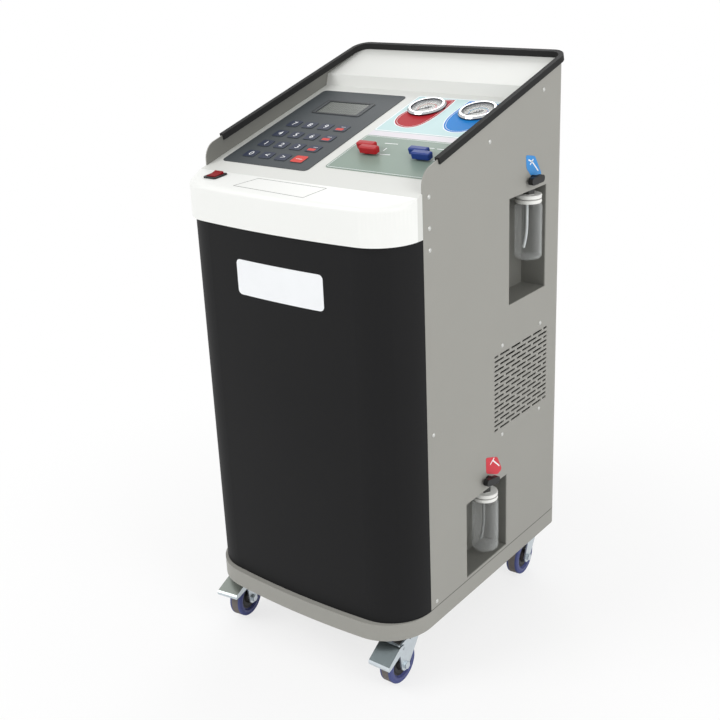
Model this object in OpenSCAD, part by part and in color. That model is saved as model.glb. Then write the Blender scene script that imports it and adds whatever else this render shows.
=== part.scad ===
// Refrigerant recovery machine: a wheeled cabinet with a sloping console, two oil bottles and four castors.
// Millimetres. +Z is up, the front looks along -Y, the floor is z = 0.

/* [Cabinet] */
// Width over the two side panels
body_w = 460; // [430:1:500]
// Depth of a side panel, front edge to rear face
side_d = 455; // [440:1:480]
// Thickness of the sheet metal
sheet = 2; // [1.5:0.1:2.5]
// Radius of the two rear corners
rear_r = 26; // [20:1:32]
// Height of the side panel's sloping edge at its front
panel_front_h = 908; // [900:1:920]
// Slope of the side panel's top edge
top_slope = 15.5; // [15:0.1:16]
// Radius where the front edge of a side panel runs into its slope
panel_nose_r = 30; // [20:1:36]
// Width of the inward flanges of the panels
flange_w = 16; // [12:1:20]
// Gap left between neighbouring panels
seam = 0.3; // [0.2:0.05:0.5]

/* [Front and tray] */
// Radius of the bowed front, seen from above
bow_r = 1600; // [1400:10:2000]
// How far the tray stands in front of the side panels
tray_nose = 100; // [96:1:104]
// How far the front panel stands in front of the side panels
front_nose = 90; // [86:1:92]
// How far the console lip stands in front of the side panels
lip_nose = 94; // [92:1:98]
// Corner radius of the tray's front
tray_corner_r = 92; // [85:1:98]
// Corner radius of the front panel
front_corner_r = 85; // [80:1:88]
// Corner radius of the console lip
lip_corner_r = 75; // [70:1:80]
// Height of the tray's wall
tray_h = 32; // [28:1:40]
// Width of the ledge round the top of the tray
ledge_w = 26; // [24:1:32]

/* [Console] */
// Height of the console's slope at the front edge of the side panels
console_front_h = 875.5; // [872:0.5:880]
// Slope of the console
console_slope = 15.4; // [15:0.1:15.6]
// Wall of the console moulding
console_t = 3; // [2.5:0.1:4]
// Depth of the console's side skirts
skirt_d = 32; // [28:1:40]
// Height of the lip's front face
lip_h = 63; // [58:1:68]
// Distance from the side panels forward to the crease of the deck
crease_v = 13.5; // [11:0.5:16]
// Fall of the deck from the crease to the lip
deck_drop = 5.2; // [4:0.1:7]
// Radius of the lip's top edge
lip_edge_r = 9; // [6:0.5:12]
// Distance from the panels' front edge back to the step
step_v = 338; // [334:1:342]
// Height of the step up to the rear cover
step_h = 21; // [18:1:24]
// Run of the step
step_run = 6; // [4:0.5:8]
// Slope of the rear cover
cover_slope = 18; // [17:0.1:18.2]

/* [Trim] */
// Width of the rubber edge trim
trim_w = 9; // [8:0.5:11]
// Height of the rubber edge trim
trim_h = 11; // [9:0.5:13]
// Height of the trim above the panel edge
trim_over = 3.5; // [2.5:0.1:4.5]
// Distance from the panels' front edge to the start of the trim
trim_start_v = 45; // [40:1:60]

/* [Keypad] */
// Width of the keypad film
keypad_w = 194; // [190:1:198]
// Length of the keypad film along the slope
keypad_l = 303; // [298:1:308]
// Thickness of the keypad film and of the instrument plates
film_t = 1; // [0.8:0.1:1.4]
// Centre of the keypad film across the console
keypad_x = -115; // [-118:1:-112]
// Centre of the keypad film along the slope
keypad_s = 173.5; // [172:0.5:176]
// Width of one key
key_w = 27; // [24:0.5:29]
// Length of one key along the slope
key_l = 24; // [20:0.5:28]
// Height of a raised key
key_rise = 0.8; // [0.5:0.1:1.2]
// Distance between key columns
key_dx = 36.7; // [35:0.1:38]
// Distance between key rows
key_ds = 41; // [39:0.5:43]
// Centre of the bottom key row along the slope
key_s = 56; // [54:1:58]
// Width of the display frame
lcd_frame_w = 112; // [108:1:118]
// Length of the display frame along the slope
lcd_frame_l = 56; // [54:1:60]
// Width of the display glass
lcd_w = 92; // [86:1:98]
// Length of the display glass along the slope
lcd_l = 46; // [40:1:50]
// Centre of the display along the slope
lcd_s = 256; // [253:1:259]

/* [Instruments] */
// Centre of the instrument plates across the console
plates_x = 108; // [106:1:110]
// Width of the instrument plates
plates_w = 206; // [200:1:210]
// Length of the gauge plate along the slope
gauge_plate_l = 145; // [140:1:148]
// Centre of the gauge plate along the slope
gauge_plate_s = 258.5; // [257:0.5:260]
// Length of the valve plate along the slope
valve_plate_l = 124; // [120:1:128]
// Centre of the valve plate along the slope
valve_plate_s = 105; // [103:1:107]
// Distance between the two gauges and between the two valves
gauge_dx = 106; // [102:1:110]
// Middle of the gauge pair across the console
gauge_x = 105; // [102:0.5:108]
// Centre of the gauges along the slope
gauge_s = 286; // [283:1:289]
// Outer radius of a gauge bezel
bezel_r = 35; // [34:0.5:37]
// Outer radius of a gauge case
gauge_r = 31.5; // [30:0.5:32]
// Wall of a gauge case
gauge_wall = 2; // [1.5:0.1:2.5]
// Height of a bezel above the gauge plate
bezel_h = 6; // [5:0.5:9]
// Depth of a gauge case below the console
gauge_depth = 34; // [28:1:42]
// Radius of a needle's pivot
needle_pin_r = 1.5; // [1.2:0.1:2]
// Length of a needle from its pivot to its tip
needle_l = 23; // [18:1:25]
// Centre of the valve handles along the slope
valve_s = 107; // [103:1:111]
// Radius of a valve stem
stem_r = 4; // [3:0.1:5]
// Length of one bar of a valve handle
bar_l = 37; // [32:1:42]
// Width of one bar of a valve handle
bar_w = 13; // [11:0.5:14]
// Height of a valve handle's bars
bar_h = 15; // [12:0.5:18]
// Sideways step between the two bars of a handle
bar_step = 14; // [10:0.5:18]
// Running clearance of pins in their bores, on the radius
run_fit = 0.05; // [0.03:0.01:0.08]

/* [Switch] */
// Width of the switch frame across the console
switch_w = 28; // [26:0.5:32]
// Length of the switch frame
switch_l = 32; // [30:0.5:34]
// Centre of the switch across the console
switch_x = -169; // [-174:1:-164]
// Distance of the switch in front of the crease
switch_v = 25; // [23:0.5:27]
// Half angle of the rocker
rocker_tilt = 7; // [5:0.5:8]

/* [Niches and bottles] */
// Depth of both bottle niches
niche_d = 50; // [46:1:60]
// Width of the upper niche
upper_niche_w = 129; // [124:1:134]
// Height of the upper niche
upper_niche_h = 192; // [185:1:196]
// Floor of the upper niche
upper_niche_z = 620; // [616:1:626]
// Centre of the upper niche behind the panels' front edge
upper_niche_v = 323; // [321:1:325]
// Width of the lower niche
lower_niche_w = 138; // [134:1:142]
// Height of the lower niche
lower_niche_h = 150; // [147:1:154]
// Floor of the lower niche
lower_niche_z = 139; // [137:1:141]
// Centre of the lower niche behind the panels' front edge
lower_niche_v = 184; // [182:1:186]
// Distance of the upper bottle behind the middle of its niche
upper_bottle_off = 34; // [28:1:36]
// Distance of the lower bottle behind the middle of its niche
lower_bottle_off = 23; // [18:1:30]
// Radius of a bottle
bottle_r = 25; // [23:0.5:26]
// Height of a bottle
bottle_h = 118; // [112:1:120]
// Wall of a bottle
bottle_wall = 1.6; // [1.2:0.1:2.2]
// Height of a bottle cap
cap_h = 15; // [13:0.5:18]
// Depth of the bottle axis behind the panel face
bottle_in = 18.5; // [17:0.5:24]
// Gap above the upper bottle's cap
upper_cap_gap = 13; // [11:0.5:16]
// Gap above the lower bottle's cap
lower_cap_gap = 18; // [15:0.5:19]

/* [Oil knobs] */
// Length of a knob's wing
wing_l = 44; // [36:1:48]
// Height of a knob's wing
wing_h = 13; // [10:0.5:15]
// Reach of a knob from the panel
knob_reach = 14; // [12:0.5:14.5]
// Height of a knob above its niche
knob_over = 19; // [17:0.5:22]
// Distance of a knob in front of its bottle
knob_lead = 22; // [16:1:26]
// Radius of an oil valve's stem
oil_stem_r = 3; // [2.5:0.1:3.5]

/* [Vents and fan] */
// Rows of vent slots
vent_rows = 17; // [9:2:17]
// Slots in a full row
vent_cols = 5; // [4:1:5]
// Distance between vent rows
vent_dz = 8.9; // [8.5:0.1:9.2]
// Distance between vent slots in a row
vent_dy = 39; // [37:0.5:40]
// Length of a vent slot
slot_l = 33; // [28:0.5:34]
// Width of a vent slot
slot_w = 4; // [3:0.1:4.5]
// Centre of the vent field behind the panels' front edge
vent_v = 304.5; // [302:0.5:306]
// Height of the vent field's centre
vent_z = 465; // [462:1:468]
// Distance between the fan screws, front to back
fan_screw_dy = 136; // [132:1:140]
// Distance between the fan screws, top to bottom
fan_screw_dz = 174; // [170:1:178]
// Radius of the fan blades
fan_r = 58; // [50:1:60]
// Number of fan blades
fan_blades = 5; // [3:1:7]
// Radius of the fan shaft
fan_shaft_r = 3; // [2.5:0.1:4]

/* [Castors] */
// Height of a castor, floor to mounting face
castor_h = 100; // [98:1:106]
// Radius of a castor wheel
wheel_r = 37.5; // [36:0.5:38]
// Width of a castor tyre
tyre_w = 24; // [20:0.5:25]
// Depth of the tyre's tread
tyre_t = 6.5; // [5:0.5:8]
// Length of a wheel hub
hub_l = 27; // [26:0.5:28]
// Radius of a wheel axle
axle_r = 4; // [3:0.1:5]
// Distance from the swivel axis to the axle
trail = 30; // [26:0.5:32]
// Radius of the swivel pin
king_r = 6; // [5:0.1:7]
// Thickness of the fork's sheet
fork_t = 3; // [2.5:0.1:3.5]
// Distance of the castors inward from the side faces
castor_inset = 45; // [43:1:50]
// Distance of the front castors ahead of the side panels
castor_lead = 14.5; // [10:0.5:18]
// Distance of the rear castors from the rear face
castor_rear = 46; // [42:1:60]
// Reach of a brake pedal from the swivel axis
pedal_reach = 88; // [84:1:92]
// Width of a brake pedal
pedal_w = 44; // [42.5:0.5:48]
// Radius of a brake pedal's pin
pedal_pin_r = 2.5; // [2:0.1:3]
// Swing of a brake pedal between released and locked
pedal_swing = 16; // [10:1:18]

/* [Rear fittings] */
// Reach of the hose fittings behind the rear face
fitting_reach = 25; // [22:1:28]
// Radius of a hose fitting's thread
fitting_r = 5.55; // [5:0.05:7]
// Length of a hose fitting's thread
fitting_l = 14; // [12:0.5:16]
// Distance between the two hose fittings
fitting_dx = 90; // [70:1:120]
// Height of the hose fittings
fitting_z = 300; // [260:5:340]
// Height of the mains inlet
inlet_z = 210; // [180:5:240]
// Distance of the mains inlet from the middle
inlet_x = -120; // [-140:5:-100]

/* [Hidden] */
$fn = 64;
eps = 0.01;

// The origin is the middle of the bounding box on the floor
front_reach = max(tray_nose, castor_lead + pedal_reach);
front_y = (front_reach - side_d - fitting_reach) / 2;
rear_y = front_y + side_d;
half_w = body_w / 2;
castor_x = half_w - castor_inset;
tray_top = castor_h + tray_h;
lip_top = console_front_h - crease_v * tan(console_slope) - deck_drop;
lip_bottom = lip_top - lip_h;
crease_h = console_front_h - crease_v * tan(console_slope);
step_z = console_front_h + step_v * tan(console_slope);
cover_z = step_z + step_h;
cover_end_v = side_d - sheet - seam;
console_half_w = half_w - sheet - seam;
seam_x = half_w - rear_r - flange_w;
steel = [0.62, 0.62, 0.59];
zinc = [0.77, 0.81, 0.84];
black = [0.13, 0.13, 0.13];
white = [0.95, 0.95, 0.94];
screw_r = 2;
screw_head_r = 3.8;
screw_head_h = 2.2;
hole_gap = 0.2;
crease_flat = 1;
edge_screw_v = 17;
slope_screw_v = 195;
slope_screw_drop = 8;
cover_screw_v = 373;
cover_screw_drop = 20;

function side_screws() = concat(
    [for (z = [console_front_h - 8, lip_bottom + 14, lip_bottom - 21, vent_z, tray_top + 12])
        [edge_screw_v, z]],
    [[slope_screw_v, console_front_h + slope_screw_v * tan(console_slope) - slope_screw_drop],
    [cover_screw_v, cover_z + (cover_screw_v - step_v) * tan(cover_slope) - cover_screw_drop]]);
function fan_screws() = [for (i = [-1, 1], j = [-1, 1])
    [vent_v + i * fan_screw_dy / 2, vent_z + j * fan_screw_dz / 2]];
function bottle_v(upper) = upper ? upper_niche_v + upper_bottle_off : lower_niche_v + lower_bottle_off;
function niche_top(upper) = upper ? upper_niche_z + upper_niche_h : lower_niche_z + lower_niche_h;
function cap_top(upper) = niche_top(upper) - (upper ? upper_cap_gap : lower_cap_gap);
function knob_v(upper) = bottle_v(upper) - knob_lead;
function knob_z(upper) = niche_top(upper) + knob_over;

// Places children on the console's slope, with its own x, s along the slope and n out of it
module on_slope() {
    translate([0, front_y, console_front_h]) rotate([console_slope, 0, 0]) children();
}

// Places children on the plane of the panels' sloping top edges
module on_top_plane() {
    translate([0, front_y, panel_front_h]) rotate([top_slope, 0, 0]) children();
}

// Extrudes an outline drawn in (y, z) along x
module along_x(x0, x1) {
    translate([x0, 0, 0]) rotate([90, 0, 90]) linear_extrude(x1 - x0) children();
}

// Rectangle with round corners
module round_rect(w, l, r) {
    square([w - 2 * r, l], center = true);
    square([w, l - 2 * r], center = true);
    for (i = [-1, 1], j = [-1, 1]) translate([i * (w / 2 - r), j * (l / 2 - r)]) circle(r = r, $fn = 32);
}

// Plan with a bowed front and round front corners, drawn back to back_y
module bow_plan(nose, corner_r, inset, back_y) {
    bow_y = front_y - nose + bow_r;
    corner_x = half_w - corner_r;
    corner_y = bow_y - sqrt(pow(bow_r - corner_r, 2) - pow(corner_x, 2));
    away = [corner_x, corner_y - bow_y] / (bow_r - corner_r);
    reach = corner_r + 60;
    intersection() {
        union() {
            difference() {
                translate([0, bow_y]) circle(r = bow_r - inset, $fn = 360);
                for (s = [-1, 1]) scale([s, 1]) translate([corner_x, corner_y])
                    polygon([[0, 0], [reach, 0], [reach, -reach], away * reach]);
            }
            for (s = [-1, 1]) translate([s * corner_x, corner_y]) circle(r = corner_r - inset, $fn = 64);
        }
        translate([inset - half_w, front_y - nose]) square([body_w - 2 * inset, back_y - front_y + nose]);
    }
}

// Plan of the cabinet behind the panels' front edge, with round rear corners
module rear_plan(inset, front = front_y) {
    w = half_w - inset;
    r = rear_r - inset;
    back = rear_y - inset;
    translate([-w, front]) square([2 * w, back - r - front]);
    translate([r - w, front]) square([2 * (w - r), back - front]);
    for (s = [-1, 1]) translate([s * (w - r), back - r]) circle(r = r);
}

// Sheet that wraps the two sides and the rear, drawn from above
module wrap_plan(grow) {
    difference() {
        rear_plan(-grow);
        rear_plan(sheet + grow, front_y - 1);
    }
}

// Side view of the cabinet under the plane of its top edge
module side_view(lift) {
    rise = tan(top_slope);
    top_z = panel_front_h + lift;
    turn = 90 - top_slope;
    tangent = panel_nose_r * tan(turn / 2);
    centre = [front_y + panel_nose_r, top_z - tangent];
    difference() {
        polygon([[front_y, tray_top], [rear_y + 10, tray_top],
            [rear_y + 10, top_z + (side_d + 10) * rise], [front_y, top_z]]);
        polygon([centre, centre + [-panel_nose_r - 10, 0], centre + [-panel_nose_r - 10, tangent + 20],
            centre + (panel_nose_r + 20) * [-sin(top_slope), cos(top_slope)]]);
    }
    translate(centre) circle(r = panel_nose_r);
}

// Slot with round ends, lying along the first axis
module slot(l, w) {
    square([l - w, w], center = true);
    for (s = [-1, 1]) translate([s * (l - w) / 2, 0]) circle(d = w, $fn = 16);
}

// Field of staggered vent slots, with half slots at the ends of every other row
module vent_slots() {
    for (row = [0 : vent_rows - 1]) {
        dz = (row - (vent_rows - 1) / 2) * vent_dz;
        if (row % 2 == 0) {
            for (k = [1 : vent_cols - 1]) translate([(k - vent_cols / 2) * vent_dy, dz]) slot(slot_l, slot_w);
            half_l = slot_l - vent_dy / 2;
            end = ((vent_cols - 1) * vent_dy + slot_l - half_l) / 2;
            for (s = [-1, 1]) translate([s * end, dz]) slot(half_l, slot_w);
        } else {
            for (k = [0 : vent_cols - 1])
                translate([(k - (vent_cols - 1) / 2) * vent_dy, dz]) slot(slot_l, slot_w);
        }
    }
}

// Flat part of a side panel in (y, z), with its vents and screw holes
module panel_face() {
    difference() {
        intersection() {
            side_view(0);
            translate([front_y, 0]) square([side_d - rear_r, 2 * panel_front_h]);
        }
        translate([front_y + vent_v, vent_z]) vent_slots();
        panel_holes(side_screws());
        children();
    }
}

module panel_holes(places) {
    for (p = places) translate([front_y + p[0], p[1]]) circle(r = screw_r + hole_gap, $fn = 24);
}

// Rear bend and flanges of the right-hand side panel
module panel_returns() {
    intersection() {
        translate([0, 0, tray_top]) linear_extrude(panel_front_h)
            intersection() {
                wrap_plan(0);
                translate([seam_x, rear_y - rear_r]) square([half_w, rear_r + 1]);
            }
        along_x(0, half_w + 1) side_view(0);
    }
    translate([half_w - flange_w, front_y, tray_top])
        cube([flange_w - sheet, sheet, lip_bottom - tray_top]);
    translate([half_w - flange_w, front_y + sheet, tray_top])
        cube([flange_w - sheet, side_d - rear_r - sheet, sheet]);
}

module side_panel_body() {
    along_x(half_w - sheet, half_w) panel_face() children();
    panel_returns();
}

module base_tray() {
    color(steel) difference() {
        translate([0, 0, castor_h]) linear_extrude(tray_h) tray_plan(0);
        translate([0, 0, castor_h + sheet]) linear_extrude(tray_h - 2 * sheet) tray_plan(sheet);
        translate([0, 0, castor_h + sheet]) linear_extrude(tray_h) tray_plan(ledge_w);
        castor_bolt_places() cylinder(r = bolt_r + hole_gap, h = 3 * tray_h, center = true);
        tank_bolts() cylinder(r = screw_r + hole_gap, h = 3 * tray_h, center = true);
    }
}

module tray_plan(inset) {
    bow_plan(tray_nose, tray_corner_r, inset, front_y + 1);
    rear_plan(inset);
}

module right_side_panel() {
    color(steel) side_panel_body() {
        for (upper = [true, false]) {
            translate([front_y + knob_v(upper), knob_z(upper)]) circle(r = oil_stem_r + 1);
            niche_mouth(upper);
        }
        panel_holes(fan_screws());
    }
}

module niche_mouth(upper) {
    w = upper ? upper_niche_w : lower_niche_w;
    h = upper ? upper_niche_h : lower_niche_h;
    v = upper ? upper_niche_v : lower_niche_v;
    z = upper ? upper_niche_z : lower_niche_z;
    translate([front_y + v - w / 2, z]) square([w, h]);
}

module left_side_panel() {
    color(steel) mirror([1, 0, 0]) side_panel_body();
}

module rear_panel() {
    color(steel) difference() {
        intersection() {
            translate([0, 0, tray_top]) linear_extrude(2 * panel_front_h) intersection() {
                wrap_plan(0);
                translate([seam - seam_x, rear_y - rear_r]) square([2 * (seam_x - seam), 2 * rear_r]);
            }
            along_x(-half_w, half_w) side_view(0);
        }
        translate([inlet_x, rear_y, inlet_z]) cube([inlet_w, 4 * sheet, inlet_h], center = true);
        at_fittings() cylinder(r = fitting_r + hole_gap, h = 6 * sheet, center = true);
        drier_screws() cylinder(r = screw_r + hole_gap, h = 6 * sheet, center = true);
    }
    color(steel) for (s = [-1, 1]) translate([s * (seam_x - flange_w / 2), rear_y - sheet - sheet, 0])
        translate([-flange_w, 0, tray_top]) cube([2 * flange_w, sheet, lip_bottom - tray_top]);
}

module front_panel() {
    color(black) translate([0, 0, tray_top]) linear_extrude(lip_bottom - tray_top) {
        difference() {
            bow_plan(front_nose, front_corner_r, 0, front_y - seam);
            bow_plan(front_nose, front_corner_r, sheet, front_y);
        }
        for (s = [-1, 1]) translate([s * (half_w - flange_w / 2 - sheet / 4), front_y - seam - sheet / 2])
            square([flange_w - sheet / 2, sheet], center = true);
    }
}

// Outer form of the lip: an upright wall, a rounded edge and a deck that rises to its crease
module lip_form() {
    back = front_y - crease_v;
    slice = 0.4;
    hull() {
        translate([0, 0, lip_bottom]) linear_extrude(lip_h - lip_edge_r)
            bow_plan(lip_nose, lip_corner_r, 0, back);
        for (a = [18 : 18 : 90]) translate([0, 0, lip_top - lip_edge_r * (1 - sin(a)) - slice])
            linear_extrude(slice) bow_plan(lip_nose, lip_corner_r, lip_edge_r * (1 - cos(a)), back);
        translate([-half_w, back - crease_flat, crease_h - slice]) cube([body_w, crease_flat, slice]);
    }
}

module front_lip() {
    wall = console_t + 2;
    color(white) difference() {
        lip_form();
        translate([0, 0, lip_bottom - 1]) linear_extrude(lip_h + 1 - console_t)
            bow_plan(lip_nose, lip_corner_r, wall, front_y);
        at_switch() cube([switch_w - 4, switch_l - 4, 40], center = true);
    }
}

// Side view of the console between the side panels
module console_view(drop, low) {
    end = cover_z + (cover_end_v - step_v - step_run) * tan(cover_slope);
    lap = -1;
    lap_z = console_front_h + lap * tan(console_slope);
    polygon([for (p = [[lap, lap_z - drop], [step_v, step_z - drop],
        [step_v + step_run, cover_z - drop], [cover_end_v, end - drop],
        [cover_end_v, end - low], [step_v + step_run, cover_z - low],
        [step_v, step_z - low], [lap, lap_z - low]]) [front_y + p[0], p[1]]]);
}

// Strip of the console in front of the side panels, as wide as the cabinet
module front_strip() {
    top = console_front_h - seam * tan(console_slope);
    difference() {
        along_x(-half_w, half_w) polygon([[front_y - crease_v, lip_bottom], [front_y - crease_v, crease_h],
            [front_y - seam, top], [front_y - seam, lip_bottom]]);
        along_x(console_t - half_w, half_w - console_t) polygon([[front_y - 2 * crease_v, lip_bottom - 1],
            [front_y - 2 * crease_v, crease_h - crease_v * tan(console_slope) - console_t],
            [front_y + crease_v, console_front_h + crease_v * tan(console_slope) - console_t],
            [front_y + crease_v, lip_bottom - 1]]);
    }
}

module top_console() {
    color(white) difference() {
        union() {
            front_strip();
            intersection() {
                difference() {
                    along_x(-console_half_w, console_half_w) console_view(0, skirt_d);
                    along_x(console_t - console_half_w, console_half_w - console_t)
                        console_view(console_t, skirt_d + 1);
                }
                linear_extrude(2 * panel_front_h) rear_plan(sheet + seam, front_y - 2);
            }
        }
        on_slope() {
            translate([keypad_x, lcd_s, 0]) cube([lcd_w + 1, lcd_l + 1, 40], center = true);
            at_gauges() cylinder(r = gauge_r + hole_gap, h = 40, center = true);
            at_valves() cylinder(r = stem_r + 3, h = 40, center = true);
        }
        side_holes();
    }
}

// Screw holes in the console's skirts
module side_holes() {
    for (p = side_screws(), s = [-1, 1]) translate([s * half_w, front_y + p[0], p[1]]) rotate([0, 90, 0])
        cylinder(r = screw_r + hole_gap, h = 30, center = true);
}

module at_gauges() {
    for (s = [-1, 1]) translate([gauge_x + s * gauge_dx / 2, gauge_s, 0]) children();
}

module at_valves() {
    for (s = [-1, 1]) translate([gauge_x + s * gauge_dx / 2, valve_s, 0]) children();
}

// Places children on the deck at the switch
module at_switch() {
    run = lip_nose - lip_edge_r - crease_v - crease_flat - pow(switch_x, 2) / (4 * bow_r);
    translate([switch_x, front_y - crease_v - crease_flat, crease_h]) rotate([atan(deck_drop / run), 0, 0])
        translate([0, -switch_v, hole_gap]) children();
}

module edge_trim() {
    out = (trim_w - sheet) / 2;
    color([0.16, 0.16, 0.16]) difference() {
        on_top_plane() translate([0, 0, trim_over - trim_h]) linear_extrude(trim_h) difference() {
            trim_outline(out);
            trim_outline(-sheet - out);
        }
        translate([0, 0, tray_top]) intersection() {
            linear_extrude(2 * panel_front_h) wrap_plan(0);
            translate([0, 0, -tray_top]) along_x(-body_w, body_w) side_view(0);
        }
        on_top_plane() translate([-body_w, -body_w, -body_w])
            cube([2 * body_w, body_w + trim_start_v, 2 * body_w]);
    }
}

// Outline of the wrapped sheet seen square to the plane of its top edge, grown outward
module trim_outline(grow) {
    scale_y = 1 / cos(top_slope);
    w = half_w + grow;
    back = side_d * scale_y + grow;
    r = rear_r + grow;
    translate([-w, 0]) square([2 * w, back - r]);
    translate([r - w, 0]) square([2 * (w - r), back]);
    for (s = [-1, 1]) translate([s * (w - r), back - r]) circle(r = r);
}

// Glue under the film and the printed plates
glue_t = 0.02;

module keypad_overlay() {
    lcd_off = lcd_s - keypad_s;
    color([0.36, 0.39, 0.42]) on_slope() translate([keypad_x, keypad_s, glue_t]) {
        difference() {
            union() {
                linear_extrude(film_t - glue_t) round_rect(keypad_w, keypad_l, 8);
                translate([0, lcd_off, 0]) linear_extrude(film_t + key_rise - glue_t)
                    round_rect(lcd_frame_w, lcd_frame_l, 4);
                translate([0, key_s - keypad_s, 0]) for (i = [0 : 3], j = [0 : 3])
                    translate([(i - 1.5) * key_dx, j * key_ds, 0])
                        linear_extrude(film_t + key_rise - glue_t) round_rect(key_w, key_l, 4);
            }
            translate([0, lcd_off, 0]) cube([lcd_w + 1, lcd_l + 1, 10], center = true);
        }
    }
}

module lcd_window() {
    color([0.55, 0.6, 0.55]) on_slope() translate([keypad_x, lcd_s, 0]) {
        translate([0, 0, (film_t - console_t) / 2]) cube([lcd_w, lcd_l, film_t + console_t], center = true);
        translate([0, 0, -console_t - 2]) cube([lcd_frame_w, lcd_frame_l, 4], center = true);
    }
}

board_w = 170;
board_l = 170;
board_s = 115;
post_l = 14;

module control_board() {
    color([0.12, 0.42, 0.25]) on_slope() translate([keypad_x, board_s, -console_t - post_l]) {
        translate([0, 0, -0.8]) cube([board_w, board_l, 1.6], center = true);
        for (i = [-1, 1], j = [-1, 1]) translate([i * (board_w / 2 - 8), j * (board_l / 2 - 8), 0])
            cylinder(r = 3, h = post_l);
        translate([-30, 30, -8]) cube([50, 40, 12.8], center = true);
        translate([50, -40, -7]) cube([30, 60, 10.8], center = true);
    }
}

module gauge_plate() {
    color([0.8, 0.93, 0.93]) on_slope() difference() {
        translate([plates_x, gauge_plate_s, glue_t])
            linear_extrude(film_t - glue_t) round_rect(plates_w, gauge_plate_l, 6);
        at_gauges() cylinder(r = gauge_r + hole_gap, h = 10, center = true);
    }
}

module valve_plate() {
    color([0.62, 0.7, 0.64]) on_slope() difference() {
        translate([plates_x, valve_plate_s, glue_t])
            linear_extrude(film_t - glue_t) round_rect(plates_w, valve_plate_l, 6);
        at_valves() cylinder(r = stem_r + 3, h = 10, center = true);
    }
}

// Heights inside a gauge, measured out of the slope
lens_t = 1.5;
gauge_rim = film_t + bezel_h - lens_t - 2;
gauge_floor = gauge_rim - 3.5;
dial_t = 1;

module gauge_cases() {
    color([0.7, 0.72, 0.74]) on_slope() at_gauges() {
        difference() {
            translate([0, 0, -gauge_depth]) cylinder(r = gauge_r, h = gauge_depth + gauge_rim);
            translate([0, 0, gauge_floor]) cylinder(r = gauge_r - gauge_wall, h = 2 * bezel_h);
        }
        translate([0, 0, gauge_floor - eps]) cylinder(r = needle_pin_r, h = gauge_rim - gauge_floor - 0.3);
        translate([0, 0, -gauge_depth - 18]) cylinder(r = 6, h = 18 + eps);
    }
}

module gauge_dials() {
    color("white") on_slope() at_gauges() translate([0, 0, gauge_floor]) difference() {
        cylinder(r = gauge_r - gauge_wall - hole_gap, h = dial_t);
        cylinder(r = needle_pin_r + hole_gap, h = 4 * dial_t, center = true);
    }
}

module gauge_bezels() {
    lip = 2.5;
    color([0.82, 0.84, 0.86]) on_slope() at_gauges() translate([0, 0, film_t]) rotate_extrude()
        polygon([[gauge_r + run_fit, 0], [bezel_r, 0], [bezel_r, bezel_h - 3], [bezel_r - 3, bezel_h],
            [gauge_r - lip, bezel_h], [gauge_r - lip, bezel_h - 2], [gauge_r + run_fit, bezel_h - 2]]);
}

module gauge_lenses() {
    color([0.85, 0.9, 0.95, 0.4]) on_slope() at_gauges() translate([0, 0, gauge_rim])
        cylinder(r = gauge_r - hole_gap, h = lens_t);
}

// Needle that points to the low end of its scale, at the lower left
module needle(side) {
    tail = 9;
    x = gauge_x + side * gauge_dx / 2;
    color([0.1, 0.1, 0.1]) on_slope() translate([x, gauge_s, gauge_floor + dial_t + 0.5])
        rotate([0, 0, 135]) difference() {
            union() {
                cylinder(r = 3.5, h = 1.6);
                linear_extrude(0.8) polygon([[-1.6, -tail], [1.6, -tail], [0.4, needle_l], [-0.4, needle_l]]);
            }
            cylinder(r = needle_pin_r + run_fit, h = 10, center = true);
        }
}

module left_needle() {
    needle(-1);
}

module right_needle() {
    needle(1);
}

block_w = 150;
block_l = 44;
block_h = 30;
stem_top = film_t + bar_h - 5;

module valve_manifold() {
    color([0.78, 0.66, 0.36]) on_slope() {
        translate([gauge_x, valve_s, -console_t - block_h / 2])
            cube([block_w, block_l, block_h], center = true);
        at_valves() translate([0, 0, -console_t - eps]) cylinder(r = stem_r, h = console_t + stem_top);
        for (i = [-1.5 : 1 : 1.5])
            translate([gauge_x + i * 36, valve_s - block_l / 2 + eps, -console_t - block_h / 2])
                rotate([90, 0, 0]) cylinder(r = 7, h = 14);
    }
}

// Handle made of two round-ended bars set side by side and stepped, on one stem
module valve_handle(side) {
    on_slope() translate([gauge_x + side * gauge_dx / 2, valve_s, film_t + 0.4]) difference() {
        union() {
            cylinder(r = bar_w * 0.62, h = bar_h * 0.8);
            for (s = [-1, 1]) translate([-s * bar_step / 2, s * bar_w / 2, 0]) handle_bar();
        }
        translate([0, 0, -1]) cylinder(r = stem_r + run_fit, h = stem_top - film_t + 1);
    }
}

// One bar of a handle, with its ends and top edges rounded
module handle_bar() {
    r = 3;
    hull() for (i = [-1, 1], j = [-1, 1]) {
        translate([i * (bar_l / 2 - r - 1), j * (bar_w / 2 - r), 4]) cylinder(r = r, h = eps, $fn = 24);
        translate([i * (bar_l / 2 - r), j * (bar_w / 2 - r), bar_h - r]) sphere(r = r, $fn = 24);
    }
}

module left_valve_handle() {
    color([0.8, 0.12, 0.16]) valve_handle(-1);
}

module right_valve_handle() {
    color([0.14, 0.28, 0.64]) valve_handle(1);
}

switch_wall = 4;
rocker_gap = 0.6;
rocker_w = switch_w - 2 * switch_wall;
rocker_l = switch_l - 2 * switch_wall;
rocker_pin_r = 1.6;
rocker_z = 1;

module switch_housing() {
    color(black) at_switch() {
        difference() {
            union() {
                linear_extrude(2.5) round_rect(switch_w, switch_l, 3);
                translate([0, 0, -10]) cube([switch_w - 4.6, switch_l - 4.6, 20], center = true);
            }
            cube([rocker_w, rocker_l, 24], center = true);
        }
        translate([0, 0, rocker_z]) rotate([0, 90, 0])
            cylinder(r = rocker_pin_r, h = rocker_w + 2 * eps, center = true);
        for (i = [-1, 1]) translate([0, i * 9, -23]) cube([6, 1, 8], center = true);
    }
}

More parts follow.
